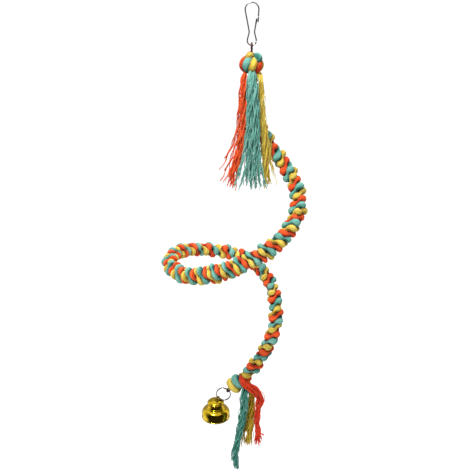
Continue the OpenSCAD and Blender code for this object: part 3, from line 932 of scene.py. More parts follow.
@dataclass
class Workshop:
    """What every sub-assembly is made with.

    Args:
        yarns: the tree that lays yarns along a line.
        lint: the tree that scatters fibres.
        lint_l: length of a fibre.
        lint_r: its radius.
        made: the materials so far, by name.
    """

    yarns: YarnTree
    lint: LintTree
    lint_l: float = 1.7 * MM
    lint_r: float = 0.03 * MM
    made: dict[str, bpy.types.Material] = field(default_factory=dict)

    def material(self, finish: object) -> bpy.types.Material:
        """Returns a finish's material, which is made when it is first asked for."""
        if finish.name not in self.made:
            self.made[finish.name] = finish.material()
        return self.made[finish.name]

    def twine(
        self, name: str, bundle: Bundle, finish: object, lay: Lay, seed: int = 1, lint: float = 0.0
    ) -> bpy.types.Object:
        """Lays a bundle of yarns, or one wire, along a line.

        Args:
            name: the piece's name.
            bundle: the line.
            finish: the material's description.
            lay: how the yarns lie.
            seed: number that the random values depend on.
            lint: loose fibres on a square metre of yarn.

        Returns:
            The piece.
        """
        shared = {"seed": seed, "material": self.material(finish)}
        piece = grown(bundle.line(name + "_line"), self.yarns, {**vars(lay), **shared}, name)
        if lint > 0.0:
            fibres = {"density": lint, "length": self.lint_l, "radius": self.lint_r}
            piece = grown(piece, self.lint, {**fibres, **shared}, name)
        return piece

    def wire(
        self, name: str, points: Array, finish: object, d: float, sides: int = 16
    ) -> bpy.types.Object:
        """Sweeps one round wire along points.

        Args:
            name: the piece's name.
            points: the wire's middle line.
            finish: the material's description.
            d: its thickness.
            sides: faces round it.

        Returns:
            The piece.
        """
        n = len(points)
        flat = np.zeros((n, 3))
        # the tree gives each yarn a random girth of about 0.97, which this evens out
        bundle = Bundle(points, flat, flat, np.full(n, 1 / 0.97), np.zeros(n))
        return self.twine(name, bundle, finish, Lay(1, d / 2, sides))


def seat(piece: bpy.types.Object, body: str, slot: str, *nodes: str) -> None:
    """Hands a piece to the frame.

    Args:
        piece: the piece.
        body: the CAD body that it rides on.
        slot: the record's slot of its finish; not used.
        nodes: the CAD nodes that it stands for.
    """
    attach(piece, body)
    if nodes:
        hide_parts(*nodes)
    LOG.info("%s: %d faces, rides on %s", piece.name, len(piece.data.polygons), body)


# The perch


@dataclass
class PerchSizes:
    """Sizes that the perch's pieces share, as the CAD source has them."""

    wire_d: float = 1.4 * MM
    hook_h: float = 38.4 * MM
    core_d: float = 1.8 * MM
    eye_in_d: float = 4.2 * MM
    run_gap: float = 0.1 * MM
    soft_gap: float = 0.3 * MM
    perch_d: float = 16 * MM
    spiral_r: float = 64 * MM
    spiral_drop: float = 338 * MM
    turns: int = 33
    cord_w: float = 5.2 * MM
    close_middle: float = 0.395
    close_reach: float = 0.2
    closer: float = 0.4
    width_loss: float = 0.34
    cord_ride: float = 0.8 * MM
    knot_h: float = 20.4 * MM
    knot_d: float = 22.6 * MM
    end_wrap_w: float = 7.6 * MM
    end_wrap_d: float = 18.4 * MM
    mouth: float = 2.8 * MM
    end_stem: float = 0.8 * MM

    def __post_init__(self) -> None:
        """Works out the radii and heights that follow, as the CAD source does."""
        self.core_r = self.core_d / 2
        self.eye_r = (self.eye_in_d + self.core_d) / 2
        self.bed_r = self.core_r + self.soft_gap
        self.hang_z = self.wire_d * 1.5 - self.hook_h
        self.top_eye_z = self.hang_z + self.wire_d / 2 + self.run_gap - self.eye_in_d / 2
        self.knot_end_z = self.top_eye_z - self.eye_r - self.core_r - self.soft_gap - self.knot_h


class Route:
    """The core's way from the knot to the lower eye.

    Its table holds shares of the spiral's radius to the right and to the back, and of
    its height downwards, as the CAD source has them.
    """

    SHARES = np.array(
        [
            [0, 0, 0],
            [0.05, 0.09, 0.167],
            [0.82, -0.10, 0.306],
            [0.62, -0.91, 0.409],
            [-0.29, -1.15, 0.496],
            [-1.15, -0.69, 0.555],
            [-1.38, 0.32, 0.543],
            [-0.76, 1.14, 0.586],
            [0.28, 0.83, 0.605],
            [0.57, 0.13, 0.757],
            [0.14, 0.05, 0.914],
            [-0.30, 0.10, 1],
        ]
    )
    STEPS = 60

    def __init__(self, sizes: PerchSizes) -> None:
        """Samples the spline and measures its length.

        Args:
            sizes: the perch's sizes.
        """
        self.top = np.array([0.0, 0.0, sizes.knot_end_z])
        reach = np.array([sizes.spiral_r, sizes.spiral_r, -sizes.spiral_drop])
        rows = self.top + self.SHARES * reach
        last = len(rows) - 1
        self.points = b_spline(rows, np.linspace(0, last, self.STEPS * last + 1))
        self.places = travelled(self.points)
        self.length = float(self.places[-1])
        self.end_way = unit(self.points[-1] - self.points[-2])

    def at(self, s: Array) -> Array:
        """Finds places on the core.

        Args:
            s: lengths from the knot's lower side, negative above it.

        Returns:
            One place for each length.
        """
        inside = rows_at(s, self.places, self.points)
        above = self.top - np.outer(np.minimum(s, 0.0), UP)
        below = self.points[-1] + np.outer(np.maximum(s - self.length, 0.0), self.end_way)
        return np.where((s < 0)[:, None], above, np.where((s > self.length)[:, None], below, inside))

    def run(self, start: float, end: float, shares: Array) -> Run:
        """Returns a stretch of the core with frames that start from the front."""
        return Run.through(self.at(start + (end - start) * shares), -DEPTH)


@dataclass
class WoundCord:
    """A soft cord wound round the core.

    Args:
        phase: angle at its start, in degrees from the front.
        turns: turns that it makes.
        bed_r: radius that it lies on.
        half_t: half its thickness, away from the core.
        half_w: half its width, at each ring or all along.
        ride: how far it rides out on its own side.
        ends: share of its length over which it tucks in.
        least: its girth at the ends.
        uneven: how much its girth varies.
        lobes: share of its girth that it loses where it dives under its neighbour,
            three times a turn.
        level: how level it lies between two dives, from zero to one.
        seam: degrees from the front at which it dives.
        dive: how much deeper it lies there.

    BULGES holds waves as radians in a turn and a multiple of the seed, and WANDERS the
    same after a reach in degrees. PLUMP_POWER rounds a lobe's crest, PLUMP_MIDDLE is the
    plumpness at which the cord has its own girth, and PLUMP_DEPTH is the share of a
    lobe's widening by which it also thickens.
    """

    BULGES = ((2.7, 1), (11.3, 2), (7.1, 4))
    WANDERS = ((22, 1.9, 1), (14, 3.3, 5))
    PLUMP_POWER = 0.7
    PLUMP_MIDDLE = 0.6
    PLUMP_DEPTH = 0.35

    phase: float
    turns: float
    bed_r: float
    half_t: Array
    half_w: Array
    ride: float
    ends: float
    least: float
    uneven: float = 0.035
    lobes: float = 0.0
    level: float = 0.0
    seam: float = 0.0
    dive: float = 0.0

    def facing(self, run: Run) -> Array:
        """Finds where the front is, evened out over two turns of the cord.

        Args:
            run: the core's stretch.

        Returns:
            The angle of the front in each of the run's frames.
        """
        angle = np.unwrap(np.arctan2(run.other @ -DEPTH, run.side @ -DEPTH))
        window = 2 * int(len(angle) / self.turns) + 1
        padded = np.pad(angle, window // 2, mode="edge")
        return np.convolve(padded, np.full(window, 1 / window), mode="valid")

    def bundle(self, run: Run, skin: float, seed: float = 0.0) -> Bundle:
        """Lays the cord along a stretch of the core.

        Args:
            run: the core's stretch.
            skin: radius of one yarn, which the yarns' middles stay inside by.
            seed: where its unevenness starts.

        Returns:
            The line that its yarns follow.
        """
        n = len(run.points)
        share = np.linspace(0, 1, n)
        tuck = self.least + (1 - self.least) * np.clip(np.minimum(share, 1 - share) / self.ends, 0, 1)
        # hand-wound cords bulge and tighten a little from turn to turn
        around = self.turns * share
        swell = 1 + self.uneven * sum(np.sin(f * around + k * seed) for f, k in self.BULGES)
        a = np.radians(self.phase + 360 * self.turns * share)
        wander = np.radians(sum((w * np.sin(f * around + k * seed) for w, f, k in self.WANDERS), self.seam))
        beat = 3 * (a - self.facing(run) - wander) + math.pi
        plump = (0.5 + 0.5 * np.cos(beat)) ** self.PLUMP_POWER
        fuller = self.lobes * (plump - self.PLUMP_MIDDLE)
        tuck = tuck * swell
        broad = tuck * (1 + fuller)
        tuck = tuck * (1 + fuller * self.PLUMP_DEPTH)
        r = self.bed_r + self.half_t * tuck + self.ride * (1 + np.cos(a - math.radians(self.phase)))
        r = r - self.dive * (1 - plump)
        out = np.cos(a)[:, None] * run.side + np.sin(a)[:, None] * run.other
        points = run.points + r[:, None] * out
        rise = np.gradient(run.lengths()) / np.gradient(around)
        points = points - (self.level * rise / (6 * math.pi) * np.sin(beat))[:, None] * run.tangent
        across = unit(np.cross(Run.through(points, -DEPTH).tangent, out))
        reach_t = (self.half_t * tuck - skin)[:, None] * out
        reach_w = (np.broadcast_to(self.half_w, n) * broad - skin)[:, None] * across
        # painted shade where the cord dives under its neighbour
        dip = (1 - plump) * min(self.dive / MM, 1.0)
        return Bundle(points, reach_t, reach_w, np.ones(n), np.ones(n), (), dip)


@dataclass
class PerchCords:
    """The three cords wound along the whole perch."""

    sizes: PerchSizes
    route: Route
    tuck_share: float = 0.008
    least: float = 0.55
    fuller: float = 1.09
    thicker: float = 1.15
    plumper: float = 0.17
    reach_on: float = 1.6 * MM
    yarns: int = 16
    yarn_r: float = 0.64 * MM
    rings_per_turn: int = 28
    phases: dict[Dye, float] = field(
        default_factory=lambda: {Dye.TEAL: 0.0, Dye.YELLOW: 240.0, Dye.ORANGE: 120.0}
    )

    def build(self, shop: Workshop) -> None:
        """Winds and seats the cords.

        Args:
            shop: what its pieces are made with.
        """
        s = self.sizes
        margin = s.mouth + self.least * s.cord_w / 2
        end = self.route.length - 2 * s.end_wrap_w - margin
        share = np.linspace(0, 1, s.turns * self.rings_per_turn + 1)
        # over the loop's front the turns lie closer, and the cords are narrower by as much
        way = np.clip((share - s.close_middle) / s.close_reach, -1, 1)
        gained = (1 + way + np.sin(math.pi * way) / math.pi) / 2
        places = (share - s.closer * s.close_reach * gained) / (1 - s.closer * s.close_reach)
        narrower = 1 - s.width_loss * (1 + np.cos(math.pi * way)) / 2
        run = self.route.run(margin - self.reach_on, end + self.reach_on, places)
        lay = Lay(self.yarns, self.yarn_r, sides=5, twist=60.0, wave=0.3 * MM, waves=160.0)
        half_t = (s.perch_d / 2 - s.bed_r) / 2 - s.cord_ride
        half_w = s.cord_w / 2 * narrower * self.fuller
        half_t = half_t * self.thicker * (1 + self.plumper * (1 + np.cos(math.pi * way)) / 2)
        for number, (dye, phase) in enumerate(self.phases.items()):
            cord = WoundCord(
                phase, s.turns, s.bed_r, half_t, half_w, s.cord_ride, self.tuck_share, self.least,
                uneven=0.03, lobes=0.68, level=0.75, seam=30.0 + 40.0 * number, dive=1.25 * MM,
            )
            colour = dye.name.lower()
            piece = shop.twine(
                f"cord_{colour}", cord.bundle(run, self.yarn_r, number), dye.value, lay,
                seed=11 + number, lint=40000.0,
            )
            seat(piece, "perch", f"{colour}_cord", f"strand_{colour}")


@dataclass
class KnotLobe:
    """One lobe of the knot.

    Args:
        dye: its colour.
        angle: its angle at its middle, in degrees from the front to the left.
        top: angle from the knot's top at which it comes out.
        foot: angle from the knot's top at which it goes in.
        lean: degrees that it turns from its top to its foot.
        half_w: half its width.
    """

    dye: Dye
    angle: float
    top: float
    foot: float
    lean: float = 40.0
    half_w: float = 4.0 * MM


@dataclass
class TopKnot:
    """The cords drawn up into a ball of steep lobes round the neck under the upper eye.

    Args:
        sizes: the perch's sizes.
        steps: steps along a lobe.
        yarns: yarns in a lobe.
        yarn_r: radius of a yarn.
        arch_power: how soon a lobe comes out to the ball's skin.
        deeper: how much deeper than wide a lobe is.
        stands_off: how far the lobes stand out past the CAD's ball.
        least: share of its girth that a lobe has at its ends.
        lobes: the lobes, the lower tier first.
    """

    sizes: PerchSizes
    steps: int = 30
    yarns: int = 18
    yarn_r: float = 0.75 * MM
    arch_power: float = 0.6
    deeper: float = 1.02
    stands_off: float = 0.5 * MM
    least: float = 0.55
    lobes: tuple[KnotLobe, ...] = (
        KnotLobe(Dye.ORANGE, 82, 44, 165),
        KnotLobe(Dye.TEAL, 36, 36, 160, 40, 4.0 * MM),
        KnotLobe(Dye.YELLOW, -4, 56, 158, 44, 3.9 * MM),
        KnotLobe(Dye.ORANGE, -48, 62, 172, 40, 4.5 * MM),
        KnotLobe(Dye.YELLOW, -96, 60, 160, 36),
        KnotLobe(Dye.TEAL, -140, 50, 164, 40, 4.4 * MM),
        KnotLobe(Dye.ORANGE, 176, 46, 160, 40, 4.4 * MM),
        KnotLobe(Dye.YELLOW, 128, 48, 162, 42, 4.2 * MM),
        KnotLobe(Dye.YELLOW, 26, 12, 66, 40, 3.2 * MM),
        KnotLobe(Dye.TEAL, -66, 24, 84, 80, 4.0 * MM),
        KnotLobe(Dye.ORANGE, 170, 8, 78, 60, 3.8 * MM),
    )

    def lay(self, lobe: KnotLobe) -> Bundle:
        """Lays one lobe down the ball.

        Args:
            lobe: its plan.

        Returns:
            The line that its yarns follow.
        """
        s = self.sizes
        share = np.linspace(0, 1, self.steps + 1)
        fall = np.radians(lobe.top + (lobe.foot - lobe.top) * share)
        turn = np.radians(lobe.angle + lobe.lean * (share - 0.5))
        # each lobe rises from the ball's heart, arches over its skin and goes in again
        arch = np.sin(math.pi * share) ** self.arch_power
        half_t = lobe.half_w * self.deeper
        r = (s.knot_d / 2 + self.stands_off - half_t) * np.sin(fall) * (0.5 + 0.5 * arch)
        middle_z = s.knot_end_z + s.knot_h / 2
        z = middle_z + (s.knot_h / 2 - half_t * 0.6) * np.cos(fall) * (0.7 + 0.3 * arch)
        points = np.column_stack([-r * np.sin(turn), -r * np.cos(turn), z])
        run = Run.through(points, (-math.sin(turn[0]), -math.cos(turn[0]), 0.0))
        out = unit(points - middle_z * UP)
        out = unit(out - np.sum(out * run.tangent, axis=1)[:, None] * run.tangent)
        girth = (self.least + (1 - self.least) * arch)[:, None]
        even = np.ones(self.steps + 1)
        reach_t = (half_t * girth - self.yarn_r) * out
        reach_w = (lobe.half_w * girth - self.yarn_r) * np.cross(run.tangent, out)
        # painted shade on the lobe's ends and on its lower part, where the knot's own shade falls
        dip = 1 - arch + 1.3 * smooth((share - 0.25) / 0.55)
        return Bundle(points, reach_t, reach_w, even, even, (), dip)

    def build(self, shop: Workshop) -> None:
        """Winds and seats the knot's cords.

        Args:
            shop: what its pieces are made with.
        """
        lay = Lay(self.yarns, self.yarn_r, sides=6, twist=60.0, wave=0.4 * MM, waves=160.0)
        for number, dye in enumerate(Dye):
            lobes = [self.lay(lobe) for lobe in self.lobes if lobe.dye is dye]
            colour = dye.name.lower()
            piece = shop.twine(
                f"knot_cord_{colour}", Bundle.of(lobes), dye.value, lay, seed=31 + number, lint=40000.0
            )
            seat(piece, "perch", f"{colour}_cord", f"knot_{colour}")


@dataclass
class EndWraps:
    """The two closing turns of cord above the lower eye."""

    sizes: PerchSizes
    route: Route
    turns: float = 1.06
    fuller: float = 1.02
    lead_share: float = 0.14
    yarns: int = 16
    yarn_r: float = 0.8 * MM
    plan: dict[Dye, tuple[int, float]] = field(
        default_factory=lambda: {Dye.TEAL: (0, 170.0), Dye.YELLOW: (1, 190.0)}
    )

    def build(self, shop: Workshop) -> None:
        """Winds and seats the wraps.

        Args:
            shop: what its pieces are made with.
        """
        s = self.sizes
        start = self.route.length - 2 * s.end_wrap_w
        lead = s.end_wrap_w * self.lead_share
        half_w = (s.end_wrap_w - s.soft_gap - lead) / 2 / math.cos(math.pi / 6) * self.fuller
        half_t = (s.end_wrap_d / 2 - s.bed_r) / 2
        lay = Lay(self.yarns, self.yarn_r, sides=8, twist=90.0, wave=0.3 * MM, waves=160.0)
        for number, (dye, (place, phase)) in enumerate(self.plan.items()):
            middle = start + (place + 0.5) * s.end_wrap_w
            run = self.route.run(middle - lead / 2, middle + lead / 2, np.linspace(0, 1, 73))
            cord = WoundCord(phase, self.turns, s.bed_r, half_t, half_w, ride=0.0, ends=0.08, least=0.7)
            colour = dye.name.lower()
            piece = shop.twine(
                f"wrap_cord_{colour}", cord.bundle(run, self.yarn_r), dye.value, lay,
                seed=41 + number, lint=90000.0,
            )
            seat(piece, "perch", f"{colour}_cord", f"end_wrap_{colour}")


@dataclass
class TasselPlan:
    """One tassel's place and hang.

    Args:
        node: the CAD node that it stands for.
        dye: its colour.
        angle: angle of its root round the core, in degrees from the front.
        flat_way: the way that it is wide.
        shares: rows of shares of its length to the right, to the back and downwards,
            and of its full girth.
        threads: number of its threads.
        spread: how much fuller it is than its CAD solid.
        tuck_up: how far its root reaches up under the knot.
        root_girth: share of its full girth that its root has at least.
        flare: how much fuller it gets towards its end.
        finish: its cotton, where it isn't its dye's own.
        strays: locks that leave it, each as its place across, how far down it leaves,
            how far it ends aside and how far it ends lower, as shares of the length.
    """

    node: str
    dye: Dye
    angle: float
    flat_way: tuple[float, float, float]
    shares: list[list[float]]
    threads: int
    spread: float = 1.0
    tuck_up: float = 0.0
    root_girth: float = 0.55
    flare: float = 0.0
    finish: Optional[CottonFinish] = None
    strays: tuple[tuple[float, float, float, float], ...] = ()


@dataclass
class Tassels:
    """The unravelled ends of the cords, three at each end of the perch."""

    sizes: PerchSizes
    route: Route
    length: float = 104 * MM
    fray: float = 6 * MM
    width: float = 11 * MM
    thickness: float = 6.4 * MM
    thread_r: float = 0.38 * MM
    steps: int = 64
    wave: float = 3.4 * MM
    waves: float = 34.0
    crimp: float = 0.75 * MM
    crimps: float = 52.0
    lock_threads: int = 5
    lock_r: float = 0.7 * MM
    past_end: float = 0.9
    end_steps: int = 4
    end_fuller: float = 1.04
    tuck_rows: float = 3.6
    root_rows: float = 4.0
    slack_share: float = 0.3
    upper: tuple[TasselPlan, ...] = (
        TasselPlan("top_tassel_orange", Dye.ORANGE, 90, (1, 0, 0), [
            [0, 0, 0, 0.24], [-0.038, -0.02, 0, 0.34], [-0.055, -0.06, 0.02, 0.48],
            [-0.055, -0.085, 0.09, 0.6], [-0.058, -0.082, 0.3, 0.66], [-0.066, -0.082, 0.52, 0.7],
            [-0.1, -0.084, 0.7, 0.74], [-0.148, -0.085, 0.86, 0.86], [-0.178, -0.08, 0.96, 1]],
            70, tuck_up=6 * MM, flare=0.25, strays=(
                (-1.1, 0.5, -0.02, -0.02), (-1.2, 0.3, -0.02, -0.12), (0.9, 0.7, 0.02, 0.02))),
        TasselPlan("top_tassel_teal", Dye.TEAL, 0, (1, 0, 0), [
            [0, 0, 0, 0.24], [0, -0.045, 0, 0.36], [0.002, -0.1, 0.02, 0.7],
            [0.006, -0.125, 0.09, 0.92], [0.014, -0.13, 0.3, 1], [0.014, -0.13, 0.55, 1],
            [0.014, -0.125, 0.8, 1.15], [0.02, -0.12, 0.96, 1.5]],
            130, tuck_up=7.5 * MM, root_girth=0.7, flare=0.2, strays=(
                (-1.0, 0.62, -0.08, -0.03), (-0.6, 0.7, -0.07, 0.0), (0.9, 0.7, 0.03, 0.0),
                (-0.9, 0.5, -0.05, -0.1))),
        TasselPlan("top_tassel_yellow", Dye.YELLOW, -90, (1, 0, 0), [
            [0, 0, 0, 0.24], [0.038, -0.02, 0, 0.34], [0.062, -0.065, 0.02, 0.5],
            [0.068, -0.094, 0.09, 0.48], [0.074, -0.096, 0.28, 0.46], [0.096, -0.1, 0.51, 0.54],
            [0.114, -0.09, 0.7, 0.64], [0.122, -0.085, 0.86, 0.7], [0.13, -0.08, 0.96, 0.8]],
            70, tuck_up=6 * MM, flare=0.2, strays=(
                (1.0, 0.62, 0.05, -0.01), (1.1, 0.5, 0.03, -0.08))),
    )
    lower: tuple[TasselPlan, ...] = (
        TasselPlan("end_tassel_orange", Dye.ORANGE, 20, (0, 0, 1), [
            [0, 0, 0, 0.7], [0.005, -0.09, 0, 0.8], [0.07, -0.14, 0.008, 0.95],
            [0.168, -0.13, 0.072, 1], [0.2, -0.11, 0.183, 0.86], [0.172, -0.1, 0.282, 0.66],
            [0.166, -0.1, 0.381, 0.55], [0.16, -0.1, 0.487, 0.5], [0.182, -0.1, 0.6, 0.52],
            [0.176, -0.1, 0.72, 0.6]],
            76, tuck_up=1.2 * MM, root_girth=0.9, finish=ORANGE_DEEP, strays=(
                (0.6, 0.8, 0.07, -0.12), (-0.5, 0.75, -0.02, 0.02), (0.2, 0.8, 0.04, -0.05))),
        TasselPlan("end_tassel_teal", Dye.TEAL, -45, (1, 0, 0), [
            [0, 0, 0, 0.2], [0.02, -0.03, 0.018, 0.4], [0.032, -0.07, 0.05, 0.66],
            [0.018, -0.095, 0.12, 0.78], [0.018, -0.1, 0.226, 0.8], [0.004, -0.1, 0.38, 0.76],
            [-0.03, -0.1, 0.583, 0.72], [-0.06, -0.1, 0.749, 0.64], [-0.082, -0.1, 0.873, 0.56],
            [-0.066, -0.1, 1.02, 0.56]],
            90, finish=TEAL_DEEP, strays=((-0.8, 0.72, -0.04, -0.1), (0.5, 0.8, 0.01, 0.01))),
        TasselPlan("end_tassel_yellow", Dye.YELLOW, -132, (0, -1, 0), [
            [0, 0, 0, 0.24], [0.045, -0.005, 0.022, 0.33], [0.075, -0.02, 0.06, 0.46],
            [0.097, -0.03, 0.154, 0.54], [0.104, -0.04, 0.307, 0.58], [0.09, -0.04, 0.463, 0.66],
            [0.076, -0.04, 0.621, 0.7], [0.07, -0.04, 0.75, 0.7]],
            110, 1.65, flare=0.35, finish=YELLOW_DEEP, strays=(
                (0.3, 0.35, -0.09, 0.1), (-0.4, 0.3, -0.05, 0.02), (0.2, 0.4, -0.06, 0.06),
                (0.5, 0.3, -0.03, 0.0), (0.0, 0.5, 0.02, 0.03))),
    )

    def root(self, s: float, angle: float) -> Array:
        """Returns where a tassel comes off the core.

        Args:
            s: length along the core.
            angle: angle round it, in degrees from the front.

        Returns:
            The place.
        """
        mouth = self.sizes.mouth
        here, ahead, behind = self.route.at(np.array([s, s + mouth, s - mouth]))
        left = unit(np.cross(DEPTH, ahead - behind))
        way = math.sin(math.radians(angle)) * left - math.cos(math.radians(angle)) * DEPTH
        return here + (self.sizes.bed_r + self.sizes.soft_gap) * way

    def hang(self, shop: Workshop, plan: TasselPlan, s: float, seed: int) -> None:
        """Builds and seats one tassel.

        Args:
            shop: what it is made with.
            plan: its plan.
            s: length along the core at which it comes off.
            seed: number that its random values depend on.
        """
        shares = np.array(plan.shares, float)
        last = len(shares) - 1
        rows = b_spline(shares, np.linspace(0, last, self.steps + 1))
        # the threads run on past the CAD solid's last full ring, down to its ragged end
        drop = rows[-1, :3] - rows[-2, :3]
        beyond = np.linspace(0, self.past_end, self.end_steps + 1)[1:, None]
        tail = rows[-1, :3] + drop / np.linalg.norm(drop) * beyond * (self.fray / self.length)
        line = np.vstack([rows[:, :3], tail])
        girth = np.concatenate([rows[:, 3], np.full(self.end_steps, rows[-1, 3] * self.end_fuller)])
        points = self.root(s, plan.angle) + self.length * line * np.array([1.0, 1.0, -1.0])
        row = np.arange(len(points)) / (self.steps / last)
        points[:, 2] += plan.tuck_up * (1 - smooth(row / self.tuck_rows))
        girth = np.maximum(girth, plan.root_girth * (1 - smooth(row / self.root_rows)))
        run = Run.through(points, plan.flat_way)
        n = len(points)
        share = np.linspace(0, 1, n)
        fuller = plan.spread * (1 + plan.flare * smooth((share - 0.4) / 0.6))
        wide = (self.width / 2 * girth * fuller - self.thread_r)[:, None] * run.side
        deep = (self.thickness / 2 * girth * plan.spread - self.thread_r)[:, None] * run.other
        bundle = Bundle(points, wide, deep, np.ones(n), smooth(share / self.slack_share))
        slot = f"{plan.dye.name.lower()}_cord"
        finish = plan.finish or plan.dye.value
        lay = Lay(
            plan.threads, self.thread_r, 5, twist=14.0, filled=1.0, wave=self.wave, waves=self.waves,
            fray=0.18, cells=2.2, gather=0.7, crimp=self.crimp, crimps=self.crimps,
        )
        piece = shop.twine(plan.node.replace("tassel", "fringe"), bundle, finish, lay, seed)
        seat(piece, "perch", slot, plan.node)
        if plan.strays:
            locks = Bundle.of([self.lock(points, wide, deep, stray) for stray in plan.strays])
            lay = replace(lay, yarns=self.lock_threads, twist=30.0, wave=self.wave / 2)
            lay = replace(lay, fray=0.25, cells=1.0, gather=0.0)
            piece = shop.twine(plan.node.replace("tassel", "stray_locks"), locks, finish, lay, seed)
            seat(piece, "perch", slot)

    def lock(
        self, points: Array, wide: Array, deep: Array, stray: tuple[float, float, float, float]
    ) -> Bundle:
        """Lays one lock of threads that leaves a tassel.

        Args:
            points: the tassel's middle line.
            wide: vectors from it to its skin, the wide way.
            deep: the same, square to them.
            stray: the lock's plan.

        Returns:
            The line that its threads follow.
        """
        across, leave, aside, lower = stray
        n = len(points)
        share = np.linspace(0, 1, n)
        away = smooth((share - leave) / (1 - leave))
        line = points + across * wide + 0.6 * deep
        line[:, 0] += aside * self.length * away
        line[:, 2] -= lower * self.length * away
        first = int(leave * 0.8 * n)
        line, share = line[first:], share[first:]
        run = Run.through(line, DEPTH)
        slack = smooth(share / self.slack_share)
        return Bundle(line, self.lock_r * run.side, self.lock_r * run.other, np.ones(len(line)), slack)

    def build(self, shop: Workshop) -> None:
        """Hangs all six tassels.

        Args:
            shop: what its pieces are made with.
        """
        s = self.sizes
        low = self.route.length - 2 * s.end_wrap_w - s.mouth / 2
        for plans, place, seed in ((self.upper, s.mouth / 2, 51), (self.lower, low, 61)):
            for number, plan in enumerate(plans):
                self.hang(shop, plan, place, seed + number)


@dataclass
class CoreWire:
    """The bendable wire through the perch, with an eye at each end."""

    sizes: PerchSizes
    route: Route

    def build(self, shop: Workshop) -> None:
        """Bends and seats the wire.

        Args:
            shop: what its pieces are made with.
        """
        s = self.sizes
        top = hoop(s.top_eye_z * UP, s.eye_r, -UP, DEPTH, 48)
        stem_end = self.route.length + s.end_stem
        middle = self.route.at(np.linspace(s.knot_end_z - s.top_eye_z + s.eye_r, stem_end, 460))
        flat = unit(self.route.end_way * np.array([1.0, 0.0, 1.0]))
        low = hoop(self.route.at(np.array([stem_end + s.eye_r]))[0], s.eye_r, -flat, DEPTH, 48)
        points = np.vstack([top, middle[1:-1], low])
        piece = shop.wire("core_wire_with_eyes", points, CORE_COAT, s.core_d, 14)
        seat(piece, "perch", "core_wire", "core_wire")


